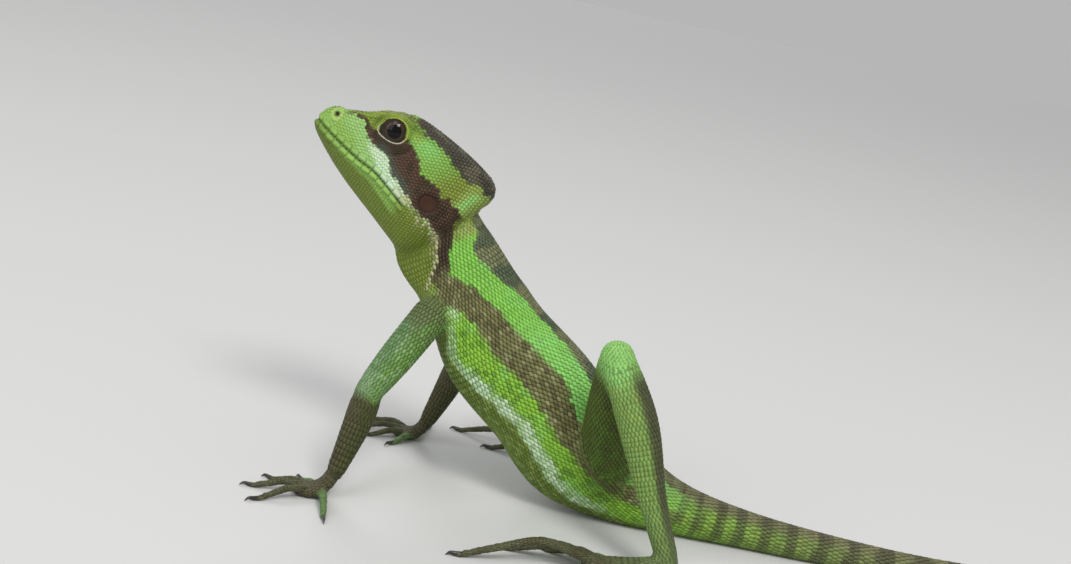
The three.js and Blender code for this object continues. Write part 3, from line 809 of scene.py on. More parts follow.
def spine_colour(points, station, angle):
    count = len(points)
    theta = np.degrees(np.abs(angle))
    ragged = (noise(points, 1.5, 1) - 0.5) * 7
    fleck = noise(points, 0.8, 24)
    top = curve_height(STRIPE_TOP, station)
    low = curve_height(STRIPE_LOW, station)
    band = curve_height(BAND_LOW, station)
    row_at = curve_height(WHITE_ROW, station)
    saddle = np.zeros(count)
    edge = (noise(points, 2.5, 2) - 0.5) * 0.25
    for start, end, depth in SADDLES:
        inside = ease(station + edge, start, start + 0.12) * (1 - ease(station + edge, end - 0.12, end))
        saddle = np.maximum(saddle, depth * inside)
    back = blend(plain(LIGHT_BACK, count), SLATE, saddle * (0.8 + 0.3 * noise(points, 1.4, 3)))
    back = blend(back, BROWN_DARK, 0.35 * ease(fleck, 0.55, 0.75))
    stripe = blend(plain(BRIGHT, count), STRIPE_REAR, ease(station, 3.0, 5.0))
    stripe = blend(stripe, MINT, 0.3 * ease(noise(points, 4, 4), 0.55, 0.8))
    nape = blend(plain(NAPE, count), NAPE_DARK, ease(noise(points, 1.8, 5), 0.45, 0.7))
    nape = blend(nape, BROWN_PALE, 0.5 * ease(fleck, 0.6, 0.8))
    stripe = blend(nape, stripe, ease(station + edge, 0.85, 1.15))
    colour = blend(back, stripe, ease(theta + ragged, top - 2, top + 3))
    brown = blend(plain(BROWN, count), BROWN_DARK, 0.6 * ease(fleck, 0.5, 0.72))
    brown = blend(brown, BROWN_PALE, 0.6 * ease(noise(points, 1.0, 6), 0.58, 0.78))
    brown = blend(brown, BROWN_DARK, 0.25 * ease(noise(points, 2.6, 7), 0.5, 0.8))
    brown = blend(brown, NECK_DARK, 1 - ease(station, 1.35, 1.9))
    colour = blend(colour, brown, ease(theta + ragged, low - 2, low + 2))
    flank = blend(plain(FLANK, count), FLANK_DARK, 0.7 * ease(fleck, 0.5, 0.75))
    flank = blend(flank, STRIPE_REAR, 0.4 * ease(noise(points, 3.0, 8), 0.5, 0.8))
    flank = blend(flank, WHITE, 0.6 * bell(station - 2.74, 0.16) * bell(theta - 113, 7))
    colour = blend(colour, flank, ease(theta + ragged, band - 2, band + 3))
    # the belly: its own olive darkened with painted shade, with pale flecks
    belly = blend(plain(SHADED_BELLY, count), BELLY_PALE, 0.8 * ease(fleck, 0.5, 0.7))
    colour = blend(colour, belly, ease(theta + ragged, row_at + 4, row_at + 9))
    row = 1 - ease(np.abs(theta + ragged - row_at), 4, 11)
    row = row * ease(station, 2.8, 3.2) * (1 - ease(station, 6.4, 7.2))
    row = row * (0.55 + 0.45 * ease(noise(points, 1.7, 10), 0.3, 0.5))
    row = row * (0.95 - 0.5 * ease(fleck, 0.5, 0.72)) * (0.65 + 0.35 * ease(station, 3.6, 4.2))
    colour = blend(colour, WHITE, row)
    upper = 1 - ease(theta, band + 4, band + 16)
    throat = blend(plain(THROAT, count), BONE, 0.35 * ease(fleck, 0.52, 0.7) * upper)
    colour = blend(colour, throat, ease(theta, band + 1, band + 4) * (1 - ease(station, 2.2, 2.55)))
    line = bell(theta + ragged * 0.3 - band - 1, 3.2)
    line = line * ease(station, 0.3, 0.5) * (1 - ease(station, 1.8, 2.0))
    colour = blend(colour, BONE, line * (0.95 - 0.6 * ease(noise(points, 0.7, 9), 0.45, 0.65)))
    tail = ease(station, 7.0, 8.6)
    bands = 0.5 + 0.5 * np.cos(2 * pi * (station * 3.1 + 0.25 * noise(points, 4, 11)))
    tone = blend(plain(TAIL, count), FLANK, 0.7 * (1 - ease(station, 8, 11.5)) * ease(theta, 25, 70))
    tone = blend(tone, TAIL_BAND, ease(bands, 0.35, 0.85) * (0.7 - 0.3 * ease(theta, 100, 150)))
    tone = blend(tone, BROWN_DARK, 0.4 * ease(station, 13, 17) + 0.25 * ease(fleck, 0.5, 0.7))
    return blend(colour, tone, tail)


def head_colour(points):
    back, up, side = head_coords(points)
    count = len(points)
    jag = (noise(points, 1.1, 12) - 0.5) * 1.1
    b = up + jag
    below = mouth_height(back) - up
    fleck = noise(points, 0.8, 24)
    low = curve_height(MINT_LOW, back)
    pale = blend(plain(WHITE, count), BONE, ease(back, 24, 30))
    cheek = blend(plain(LIME, count), CHEEK, ease(back, 3, 8) * ease(up - low, -4.5, -1.5))
    colour = blend(cheek, pale, 0.9 * ease(back, 11.5, 16) * ease(up, low - 0.5, low + 0.8))
    lower = blend(plain(LIME, count), JAW, ease(below - 0.1 * back, 0.3, 1.2))
    lower = blend(lower, THROAT, ease(below, 3, 7))
    colour = blend(colour, lower, ease(below, -0.1, 0.5) * (1 - ease(back, 29, 33)))
    flecked = ease(fleck, 0.45, 0.65) * ease(back, 30, 34) * bell(up - low + 0.6, 1.3)
    rear = blend(plain(THROAT, count), BONE, 0.8 * flecked)
    colour = blend(colour, rear, ease(low - b, -0.2, 0.3) * ease(back, 26, 30))
    temple = blend(plain(TEMPLE, count), MINT, 0.5 * bell(np.hypot((back - 25) / 1.5, up - 12.5), 2.4))
    temple = blend(temple, OLIVE_YELLOW, ease(back + 2 * jag - 0.5 * (up - 10), 30, 36) * 0.85)
    temple = blend(temple, TEMPLE_SPOT, 0.6 * bell(np.hypot(back - 21.6, up - 13.4), 1.6))
    temple = blend(temple, NAPE, ease(back + jag, 37, 39.5))
    patch = bell(back - 39.7 - 0.31 * (up - 6), 1.1) * ease(up, 5.2, 6.4) * (1 - ease(up, 10.8, 12))
    temple = blend(temple, TEMPLE_PATCH, 0.9 * patch)
    dark_low = curve_height(DARK_LOW, back)
    dark = blend(plain(DARK, count), NECK_DARK, ease(noise(points, 1.4, 15), 0.45, 0.7))
    under_eye = bell(b - dark_low - 0.7, 1.1) * ease(back, 13, 17) * (1 - ease(back, 27, 31))
    dark = blend(dark, DARK_GREY, 0.9 * under_eye)
    colour = blend(colour, dark, ease(b, dark_low - 0.25, dark_low + 0.25) * ease(back, 4, 6))
    brow = blend(plain(BROW_GREEN, count), LIME, 1 - ease(back, 3, 7))
    reach, turn = eye_polar(back, up)
    # painted shade along the crease where the lids fold into the brow
    brow = blend(brow, LID_FOLD_SHADE, 0.6 * bell(reach - lid_fold(turn) - 0.2, 0.55))
    ridge = up - np.interp(back, *np.array(BROW).T)
    brow = blend(brow, BROW_EDGE, 0.7 * bell(ridge, 0.7) * ease(back, 8, 11))
    dark_top = curve_height(DARK_TOP, back)
    over = ease(b, dark_top - 0.2, dark_top + 0.2) * ease(back, 3, 5)
    colour = blend(colour, blend(brow, temple, ease(back + up * 0.3, 22.5, 25)), over)
    crown = ease(curve_height(SKULL_CROWN, back) - up, -0.2, 1.4)
    middle = (1 - crown) * (1 - ease(np.abs(side), 2.5, 5.5)) * (1 - ease(back, 16, 20)) * ease(back, 4, 8)
    colour = blend(colour, CROWN_OLIVE, 0.7 * middle)
    casque = blend(plain(CASQUE, count), CASQUE_PALE, ease(noise(points, 1.2, 16), 0.5, 0.75))
    edge = curve_height(CASQUE_LOW, back)
    colour = blend(colour, casque, ease(b, edge - 0.2, edge + 0.4))
    ear = np.hypot(back - EAR_AT[0], up - EAR_AT[1])
    across = np.abs(side)
    colour = blend(colour, EAR, 0.85 * (1 - ease(ear + 0.5 * jag, 2.5, 3.7)) * ease(across, 3, 5))
    nostril = np.hypot(back - NOSTRIL[0], up - NOSTRIL[1])
    colour = blend(colour, NOSTRIL_RING, 0.6 * bell(nostril - 1.15, 0.4) * ease(across, 1, 2))
    # painted shade inside the nostril's opening
    colour = blend(colour, NOSTRIL_SHADE, (1 - ease(nostril, 0.4, 0.8)) * ease(across, 1, 2))
    return blend(colour, MOUTH_LINE, 0.85 * mouth_line(back, up))


SKULL_CROWN = SKULL[:, :2]


def mouth_line(back, up):
    return bell(up - mouth_height(back), 0.28) * (1 - ease(back, MOUTH_END - 0.5, MOUTH_END + 1))


REAR_ANGLE = pi / 2  # round a limb, the side that faces the tail
GREEN_DIGITS = ("hand_left_1", "hand_left_5", "hand_right_1", "hand_right_5", "foot_left_1", "foot_right_1")


def limb_colour(points, name, along, round_):
    count = len(points)
    spots = ease(noise(points, 2.2, 17), 0.55, 0.8)
    fleck = ease(noise(points, 0.8, 24), 0.5, 0.7)
    rear = ease(np.cos(round_ - REAR_ANGLE), -0.25, 0.45)
    if name.startswith("upper_arm"):
        colour = blend(plain(ARM_FRONT, count), ARM_REAR, rear)
        colour = blend(colour, WHITE, 0.15 * fleck)
        colour = blend(colour, SHOULDER, 0.85 * (1 - ease(along + 0.2 * spots, 0.12, 0.4)))
        edge = 0.15 * (noise(points, 1.6, 25) - 0.5)
        return blend(colour, ELBOW, ease(along + edge, 0.76, 0.93) * (1 - 0.6 * rear))
    if name.startswith("forearm"):
        colour = blend(plain(FOREARM, count), FOREARM_REAR, rear)
        colour = blend(colour, BROWN_DARK, 0.3 * spots)
        edge = 0.2 * (noise(points, 1.6, 25) - 0.5)
        elbow = blend(plain(ELBOW, count), ARM_REAR, rear)
        return blend(colour, elbow, 0.9 * (1 - ease(along + edge, 0.03, 0.16)))
    if name.startswith("hand"):
        return blend(plain(DIGIT, count), FOREARM, 0.6 * fleck)
    if name.startswith("foot"):
        return blend(blend(plain(FOOT, count), DIGIT, ease(along, 0.3, 0.8)), FOREARM, 0.4 * fleck)
    if name.startswith("thigh"):
        colour = blend(plain(THIGH, count), FLANK_DARK, 0.5 * spots)
        colour = blend(colour, BROWN_DARK, 0.4 * ease(noise(points, 3.0, 20), 0.55, 0.75))
        return blend(colour, KNEE, ease(along, 0.84, 0.98))
    if name.startswith("shank"):
        colour = blend(plain(KNEE, count), SHANK, ease(along, 0.06, 0.2))
        colour = blend(colour, BELLY_PALE, 0.4 * spots + 0.25 * fleck)
        behind = ease(np.cos(round_ - REAR_ANGLE), 0.15, 0.6)
        colour = blend(colour, SHANK_REAR, 0.9 * behind * ease(along, 0.04, 0.16))
        return blend(colour, FOOT, 0.7 * ease(along, 0.6, 1.0))
    green = name.endswith(GREEN_DIGITS)
    base = blend(plain(DIGIT, count), PALE_DIGIT, np.full(count, 0.8 if green else 0.1))
    bands = ease(np.cos(along * 22 + fleck * 0.8), 0.1, 0.7)
    return blend(base, BROWN_DARK, (0.25 if green else 0.5) * bands)


def region_colour(points, region, along, round_):
    colour = np.zeros((len(points), 3))
    spine = region == 0
    colour[spine] = spine_colour(points[spine], along[spine], round_[spine])
    head = region == 1
    colour[head] = head_colour(points[head])
    for k, tube in enumerate(TUBES, 2):
        mine = region == k
        if mine.any():
            colour[mine] = limb_colour(points[mine], tube.name, along[mine], round_[mine])
    return colour


SOFT_EDGE = 0.3  # over how much of a share two regions' markings run together


def markings(points):
    """The colour at each point; where two regions meet, theirs run together."""
    along, round_, share = coordinates(points)
    rows = np.arange(len(points))
    order = np.argsort(share, axis=1)
    first, second = order[:, 0], order[:, 1]
    gap = share[rows, second] - share[rows, first]
    colour = region_colour(points, first, along[rows, first], round_[rows, first])
    mixed = gap < SOFT_EDGE
    beside = second[mixed]
    places = along[rows, second][mixed], round_[rows, second][mixed]
    other = region_colour(points[mixed], beside, *places)
    colour[mixed] = blend(colour[mixed], other, 0.5 * (1 - ease(gap[mixed], 0, SOFT_EDGE)))
    return colour


def under_scales(points):
    """The skin's colour under the scales: the markings with painted shade, darker where the scales stand out
    and darkest under pale ones.
    """
    colour = markings(points)
    back = head_coords(points)[0]
    smooth = (1 - ease(skull_share(points), 1.2, 1.4)) * (1 - 0.6 * ease(back, 24, 34))
    station, angle, _ = spine_coords(points)
    smooth = np.maximum(smooth, 0.8 * throat_share(station, np.degrees(np.abs(angle))))
    # painted shade in the gaps between scales: light where the skin is smooth, deepest under pale scales
    depth = 0.62 + 0.28 * smooth
    return colour * (depth * (1 - 0.7 * (1 - smooth) * colour.min(1)))[:, None]


def paint(mesh, colour):
    layer = mesh.color_attributes.new("Marking", "FLOAT_COLOR", "POINT")
    layer.data.foreach_set("color", np.c_[colour, np.ones(len(colour))].ravel())


# Scales

class Bed:
    """The skin's surface, for setting scales on."""

    def __init__(self, mesh):
        self.points = mesh_points(mesh)
        self.normals = mesh_normals(mesh)
        loops = [tuple(p.vertices) for p in mesh.polygons]
        self.loops = loops
        self.tree = BVHTree.FromPolygons([Vector(p) for p in self.points], loops)

    def drop(self, points, way):
        """Where straight lines from points first meet the skin."""
        spots, normals, far = np.zeros_like(points), np.zeros_like(points), np.full(len(points), 99.0)
        for i, p in enumerate(points):
            spot, _, face, distance = self.tree.ray_cast(Vector(p), Vector(way))
            if spot is not None:
                spots[i], far[i] = spot, distance
                normals[i] = self.normals[list(self.loops[face])].mean(0)
        return spots, unit(normals), far

    def settle(self, points):
        spots, normals, far = np.zeros_like(points), np.zeros_like(points), np.zeros(len(points))
        for i, p in enumerate(points):
            spot, _, face, distance = self.tree.find_nearest(Vector(p))
            spots[i] = spot
            normals[i] = self.normals[list(self.loops[face])].mean(0)
            far[i] = distance
        return spots, unit(normals), far


def scale_shape(tail, near, far, tip, keel):
    """A solid scale: six points at its foot, six on its rim and two on top, as shares of its length, width
    and height, with its free end towards +x. The near and far corners stand on both sides."""
    rim = [(tail[0], 0, tail[1]), near, far, (tip[0], 0, tip[1])]
    rim += [(x, -y, z) for x, y, z in (far, near)]
    foot = [(x * 0.9, y * 0.92, -1.2) for x, y, _ in rim]
    return np.array([*foot, *rim, *[(x, 0, z) for x, z in keel]])


KEELED = scale_shape((-0.5, 0.1), (-0.22, 0.46, 0.2), (0.2, 0.44, 0.45), (0.58, 0.75),
                     ((-0.28, 0.55), (0.36, 1)))
PLATE = scale_shape((-0.54, 0.45), (-0.2, 0.49, 0.45), (0.2, 0.49, 0.55), (0.54, 0.6),
                    ((-0.26, 0.95), (0.26, 1)))
LABIAL = scale_shape((-0.49, 0.5), (-0.46, 0.48, 0.35), (0.46, 0.48, 0.35), (0.49, 0.5),
                     ((-0.36, 1), (0.36, 1)))
SCALE_FACES = [(5, 4, 3, 2, 1, 0)] + [(i, (i + 1) % 6, 6 + (i + 1) % 6, 6 + i) for i in range(6)] + [
    (6, 7, 12), (7, 8, 13, 12), (8, 9, 13), (9, 10, 13), (10, 11, 12, 13), (11, 6, 12)]
PAINTED_SHADE_AND_HIGHLIGHT = np.array([0.45] * 6 + [0.74] * 6 + [1.1] * 2)  # painted shade on a scale's foot and rim and a painted highlight on its top: how light each is
PATCH = 0.003  # each scale's width on the unwrap


def scales(name, roots, normals, flow, size, colour, place, shape=KEELED, painted_shading=1.0, spread=0.1):
    """One mesh of solid scales: size is each one's length, width and height, place its spot on the unwrap,
    contrast how strong the painted shade on the feet and rims and the painted highlight on the tops are, and
    spread how much the scales differ in tone."""
    count = len(roots)
    ahead = unit(flow - normals * (flow * normals).sum(1, keepdims=True))
    across = np.cross(normals, ahead)
    local = shape[None] * size[:, None, :]
    points = (roots[:, None] + ahead[:, None] * local[..., :1] + across[:, None] * local[..., 1:2]
              + normals[:, None] * local[..., 2:])
    points = points.reshape(-1, 3)
    points[:, 2] = np.maximum(points[:, 2], 0)
    corner = len(shape)
    loops = np.concatenate([np.array(f) for f in SCALE_FACES])
    sizes = np.array([len(f) for f in SCALE_FACES])
    mesh = bpy.data.meshes.new(name)
    mesh.vertices.add(count * corner)
    mesh.vertices.foreach_set("co", to_frame(points).ravel())
    all_loops = (loops[None] + np.arange(count)[:, None] * corner).ravel()
    mesh.loops.add(len(all_loops))
    mesh.loops.foreach_set("vertex_index", all_loops)
    totals = np.tile(sizes, count)
    mesh.polygons.add(len(totals))
    mesh.polygons.foreach_set("loop_start", np.r_[0, np.cumsum(totals)[:-1]])
    mesh.update(calc_edges=True)
    unwrap = mesh.uv_layers.new(name="OFBake")
    spots = (place[:, None] + shape[None, :, :2] * PATCH).reshape(-1, 2)[all_loops]
    unwrap.data.foreach_set("uv", spots.ravel())
    tint = (1 + spread * (2 * RNG.random(count) - 1))[:, None, None]
    # painted shade on each scale's foot and rim and a painted highlight on its top
    painted_lighting = 1 - (1 - PAINTED_SHADE_AND_HIGHLIGHT) * np.broadcast_to(painted_shading, count)[:, None]
    paint(mesh, np.clip((colour[:, None] * painted_lighting[..., None] * tint).reshape(-1, 3), 0, 1))
    mesh.shade_smooth()
    return placed(name, mesh)


class Taken:
    """The spots where scales already stand, so that no two grow through each other."""

    def __init__(self, cell=1.0):
        self.cell, self.spots = cell, {}

    def claim(self, roots, gaps):
        free = np.zeros(len(roots), bool)
        cells = np.floor(roots / self.cell).astype(int).tolist()
        for i, (p, (x, y, z), gap) in enumerate(zip(roots.tolist(), cells, gaps.tolist())):
            near = [q for a in (x - 1, x, x + 1) for b in (y - 1, y, y + 1) for c in (z - 1, z, z + 1)
                    for q in self.spots.get((a, b, c), ())]
            if all((p[0] - q[0]) ** 2 + (p[1] - q[1]) ** 2 + (p[2] - q[2]) ** 2 > gap * gap for q in near):
                free[i] = True
                self.spots.setdefault((x, y, z), []).append(p)
        return free


def ring_places(ring, how_many, row):
    """Places spaced evenly round a ring of points, as shares of its points, and the ring's length for each.
    Every other row is set half a place on."""
    gaps = np.linalg.norm(np.roll(ring, -1, 0) - ring, axis=1)
    count = how_many(gaps.sum())
    run = np.r_[0, np.cumsum(gaps)]
    want = (np.arange(count) + 0.5 * (row % 2)) / count * run[-1]
    return np.interp(want, run, np.arange(len(ring) + 1)) / len(ring), np.full(count, gaps.sum() / count)


# How many points stand for a ring when places are spaced round it
RING, TUBE_RING, SKULL_RING = 120, 72, 96


def spine_lattice(start, end, pitch, width, counts=None):
    """Rows of roots along the spine: station, angle and each one's length and width."""
    fine = np.linspace(start, end, 2000)
    path = smooth_path(STATIONS[:, :3], fine / LAST)
    run = np.r_[0, np.cumsum(np.linalg.norm(np.diff(path, axis=0), axis=1))]
    rows, at = [], 0.0
    while at < run[-1]:
        station = np.interp(at, run, fine)
        rows.append((station, pitch(station)))
        at += pitch(station)
    out = []
    base = np.linspace(0, 2 * pi, RING, endpoint=False)
    for k, (station, step) in enumerate(rows):
        ring = spine_point(np.full(RING, station), base)

        def how_many(girth):
            return counts(station) if counts else max(6, 2 * round(girth / width(station) / 2))

        around, wide = ring_places(ring, how_many, k)
        out.append(np.c_[np.full(len(wide), station), around * 2 * pi, np.full(len(wide), step), wide])
    return np.vstack(out)


def tube_lattice(tube, pitch, width, domes):
    """Rows of roots along a tube and over its domed ends: place along it, angle, cap angle, length, width."""
    base = np.linspace(0, 2 * pi, TUBE_RING, endpoint=False)
    rows = max(3, int(tube.length / pitch))
    rings = [(k / rows, 0.0) for k in range(rows + 1)]
    for end, wanted in ((0, domes[0]), (1, domes[1])):
        radius = tube.sizes[-end].mean()
        caps = int(radius * pi / 2 / pitch)
        rings += [(end, (k + 1) / (caps + 1) * pi / 2) for k in range(caps)] if wanted else []
    out = []
    for k, (u, cap) in enumerate(rings):
        ring = tube_cap_point(tube, np.full(TUBE_RING, u), base, np.full(TUBE_RING, cap))
        around, wide = ring_places(ring, lambda girth: max(5, round(girth / width)), k)
        same = np.ones(len(wide))
        out.append(np.c_[same * u, around * 2 * pi, same * cap, same * pitch, wide])
    return np.vstack(out)


def tube_cap_point(tube, u, angle, cap, grow=0.0):
    """A tube's surface, where cap runs over a domed end from 0 at its rim to a quarter turn at its pole."""
    centre, along, side, rise, size = tube.frame(u)
    size = size + grow
    shrink = np.cos(cap)
    ahead = np.where(u > 0.5, 1, -1) * np.sin(cap) * size.mean(1)
    return (centre + along * ahead[:, None] + side * (size[:, 0] * np.cos(angle) * shrink)[:, None]
            + rise * (size[:, 1] * np.sin(angle) * shrink)[:, None])


def skull_lattice(pitch):
    """Rows of roots over the skull: u and v on it, and each one's width."""
    base = np.linspace(0, 1, SKULL_RING, endpoint=False)
    out = []
    fine = np.linspace(0, 1, 400)
    backs = smooth_path(SKULL, fine)[:, 0]
    rows = np.arange(0.4, backs[-1] - 0.3, pitch)
    for k, back in enumerate(rows):
        u = np.interp(back, backs, fine)
        ring = skull_point(np.full(SKULL_RING, u), base)
        around, wide = ring_places(ring, lambda girth: max(6, round(girth / pitch / 1.05)), k)
        out.append(np.c_[np.full(len(wide), u), around % 1, wide])
    return np.vstack(out)


CLEAR = 0.62  # how much of its own width a scale keeps clear of others' roots
# Each: distance between rows, distance in a row, and height
DIGIT_SCALE = (0.78, 0.74, 0.11)
FOOT_SCALE = (0.85, 0.82, 0.13)
LIMB_SCALE = (1.04, 1.0, 0.17)


def coat_spine(name, bed, taken, start, end, pitch, width, height, counts=None):
    lattice = spine_lattice(start, end, pitch, width, counts)
    station, angle = lattice[:, 0], lattice[:, 1]
    roots, normals, far = bed.settle(spine_point(station, angle, -COAT))
    share = coordinates(roots)[2]
    keep = (far < 2.0) & (share[:, 1:].min(1) > 0.9)
    keep[keep] = taken.claim(roots[keep], CLEAR * lattice[keep, 2:4].min(1))
    angle = (angle + pi) % (2 * pi) - pi
    flow = spine_frame(station)[1]
    under = ease(np.degrees(np.abs(angle)), 125, 150)
    under = np.maximum(under, throat_share(station, np.degrees(np.abs(angle))))
    size = np.c_[lattice[:, 2] * 1.42, lattice[:, 3] * 1.02, height(station) * (1 - 0.4 * under)]
    place = np.c_[0.01 + 0.98 * (station - start) / (end - start), 0.01 + 0.98 * (angle + pi) / (2 * pi)]
    roots, normals, flow, size, place = (a[keep] for a in (roots, normals, flow, size, place))
    colour = markings(roots)
    soft = throat_share(station, np.degrees(np.abs(angle)))[keep]
    # how strong each scale's painted shade and painted highlight are: weaker on bright green scales and on
    # the throat
    painted_shading = (0.95 - 0.4 * ease(colour[:, 1], 0.25, 0.5)) * (1 - 0.65 * soft)
    return scales(name, roots, normals, flow, size, colour, place, painted_shading=painted_shading)


def coat_tubes(name, bed, taken, chosen):
    """Scales on several tubes. Each tube has its own strip of the unwrap, digits to the right of limbs."""
    lots, total = [], [0.0, 0.0]
    for k, tube in chosen:
        digit = tube.name.startswith("digit")
        foot = tube.name.startswith(("hand", "foot"))
        pitch, width, tall = DIGIT_SCALE if digit else FOOT_SCALE if foot else LIMB_SCALE
        lattice = tube_lattice(tube, pitch, width, (not digit, not digit))
        u, angle, cap = lattice[:, 0], lattice[:, 1], lattice[:, 2]
        roots, normals, far = bed.settle(tube_cap_point(tube, u, angle, cap, -DIGIT_COAT if digit else -COAT))
        share = coordinates(roots)[2]
        share[:, k] = 9
        keep = (far < 1.6) & (share.min(1) > 0.86)
        keep[keep] = taken.claim(roots[keep], CLEAR * lattice[keep, 3:5].min(1))
        size = np.c_[lattice[:, 3] * 1.38, lattice[:, 4], np.full(len(u), tall)]
        turned_in = np.where(cap > 0, np.sin(cap), 0)[:, None]
        inward = np.where(u > 0.5, -1, 1)[:, None] * np.array((0, 0, -1.0))
        flow = tube.frame(u)[1] * (1 - turned_in) + turned_in * inward
        column, height = (1, 8) if digit else (0, 30)
        beyond = np.where(u > 0.5, 1, -1) * cap / (pi / 2) * 0.04
        spot = (0.05 + 0.9 * u + beyond, angle / (2 * pi))
        lots.append([a[keep] for a in (roots, normals, flow, size, *spot)] + [column, height])
        total[column] += height
    at, places = [0.0, 0.0], []
    for lot in lots:
        u, around, column, height = lot[4:]
        v = (at[column] + around * height) / total[column]
        places.append(np.c_[column * 0.5 + 0.01 + 0.48 * u, 0.005 + 0.99 * v])
        at[column] += height
    roots, normals, flow, size = (np.concatenate([lot[i] for lot in lots]) for i in range(4))
    # limb scales get painted shade and a painted highlight at 0.6 strength
    return scales(name, roots, normals, flow, size, markings(roots), np.concatenate(places), painted_shading=0.6)


FACE_STEP = 0.8  # distance between the scales of the face


def coat_head(bed, taken):
    lattice = skull_lattice(FACE_STEP)
    u, v = lattice[:, 0], lattice[:, 1]
    roots, normals, far = bed.settle(skull_point(u, v, -COAT))
    back, up, side = head_coords(roots)
    across = np.abs(side)
    ear = np.hypot(back - EAR_AT[0], (up - EAR_AT[1]) * 1.1)
    lip = np.abs(up - mouth_height(back))
    reach, angle = eye_polar(back, up)
    lids = (reach < lid_fold(angle) - 0.1) & (across > 3.5)
    labial = (lip < 1.55) & (back < MOUTH_END + 0.5)
    nostril = (np.hypot(back - NOSTRIL[0], up - NOSTRIL[1]) < 1.1) & (across > 1.2)
    share = coordinates(roots)[2]
    keep = (far < 2.0) & ~lids & ~labial & ~nostril & ~((ear < 2.5) & (across > 4)) & (share[:, 0] > 0.9)
    keep[keep] = taken.claim(roots[keep], np.full(keep.sum(), CLEAR * FACE_STEP))
    crown = ease(up - np.interp(back, SKULL[:, 0], SKULL[:, 1]), -2.0, -0.3)
    rear = ease(back, 24, 34)
    jaw = ease(mouth_height(back) - up, 0.5, 2.5)
    tall = 0.03 + 0.05 * crown * ease(back, 12, 18) + 0.08 * rear * (1 - 0.6 * jaw)
    fill = 1.06 - 0.06 * rear
    size = np.c_[FACE_STEP * fill, lattice[:, 2] * fill * 0.98, tall]
    flow = np.broadcast_to(HEAD_BACK, roots.shape) + RNG.normal(0, 0.12, roots.shape)
    place = np.c_[0.01 + 0.98 * u, 0.005 + 0.99 * v]
    # how strong the painted shade and painted highlight are: faint on the face, stronger towards the casque
    # and on the crown
    painted_shading = 0.08 + 0.45 * np.maximum(rear * (1 - 0.7 * jaw), crown * ease(back, 14, 20))
    kept = (roots, normals, flow, size, place, painted_shading)
    roots, normals, flow, size, place, painted_shading = (a[keep] for a in kept)
    return scales("coat_head", roots, normals, flow, size, markings(roots), place, PLATE, painted_shading, 0.06)


LID_STEP = 0.55
FAR_SIDE = 14.0  # further out to the side than any part of the head


def coat_lids(bed, taken):
    """Fine granules on the lids, in rings round each eye."""
    lots = []
    step = LID_STEP
    for hand in (-1, 1):
        for ring in range(1, 8):
            turn = np.degrees(step / (3 + ring * step))
            angle = np.arange(0, 360, turn)
            angle = angle + (ring % 2) * 0.5 * turn
            reach = lid_opening(angle) + 0.1 + ring * step
            inside = reach < lid_fold(angle) + 0.1
            angle, reach = angle[inside], reach[inside]
            if len(angle) < 3:
                continue
            t = np.radians(angle)
            back, up = EYE_AT[0] + reach * np.cos(t), EYE_AT[1] + reach * np.sin(t)
            start = head_at(back, up, np.full(len(t), hand * FAR_SIDE))
            roots, normals, far = bed.drop(start, -HEAD_SIDE * hand)
            keep = far < 12
            flow = HEAD_BACK * np.cos(t)[:, None] + HEAD_UP * np.sin(t)[:, None]
            keep[keep] = taken.claim(roots[keep], np.full(keep.sum(), CLEAR * step))
            middle = 0.25 + 0.45 * (hand > 0)
            place = np.c_[middle + 0.02 * reach * np.cos(t), 0.5 + 0.05 * reach * np.sin(t)]
            lots.append([a[keep] for a in (roots, normals, flow, place)])
    roots, normals, flow, place = (np.concatenate([lot[i] for lot in lots]) for i in range(4))
    size = np.tile((step * 1.02, step * 0.96, 0.07), (len(roots), 1))
    # lid granules get painted shade and a painted highlight at 0.35 strength
    return scales("coat_lids", roots, normals, flow, size, markings(roots), place, PLATE, 0.35, 0.06)


LABIAL_LENGTH = 2.3
LABIAL_HEIGHT = 1.3


def coat_lips(bed):
    """The plates along both lips, with the mouth line between the two rows."""
    lots = []
    backs = np.arange(0.9, MOUTH_END, LABIAL_LENGTH)
    rows = np.stack([np.interp(backs, SKULL[:, 0], SKULL[:, k]) for k in range(8)], 1)
    lift = 0.22 + LABIAL_HEIGHT / 2
    for hand in (-1, 1):
        for row, above in enumerate((1, -1)):
            rough = head_at(backs, rows[:, 2] + above * lift, hand * (rows[:, 6] - 0.1))
            roots, normals, _ = bed.settle(rough)
            flow = unit(np.gradient(roots, axis=0))
            small = 0.75 + 0.25 * ease(backs, 0, 4)
            same = np.ones(len(backs))
            size = np.c_[LABIAL_LENGTH * 0.98 * small, LABIAL_HEIGHT * small, same * 0.13]
            place = np.c_[0.02 + 0.96 * backs / MOUTH_END, same * (0.1 + 0.2 * (2 * row + (hand > 0)))]
            colour = head_colour(roots + HEAD_UP * (0.3 * above))
            lots.append((roots, normals, flow, size, colour, place))
    joined = [np.concatenate([lot[i] for lot in lots]) for i in range(6)]
    # lip plates get painted shade and a painted highlight at 0.5 strength
    return scales("coat_lips", *joined, LABIAL, 0.5, 0.05)


# Eyes, eardrums and claws

def sphere_points(radius, centre, axis, across, rows, around):
    """Rings round an axis, the first at the axis's own end."""
    third = np.cross(axis, across)
    rings = []
    angle = np.linspace(0, 2 * pi, around, endpoint=False)
    circle = np.outer(np.cos(angle), across) + np.outer(np.sin(angle), third)
    for k in range(1, rows):
        polar = pi * k / rows
        rings.append(centre + radius * (cos(polar) * axis + sin(polar) * circle))
    return rings


PUPIL = 1.75


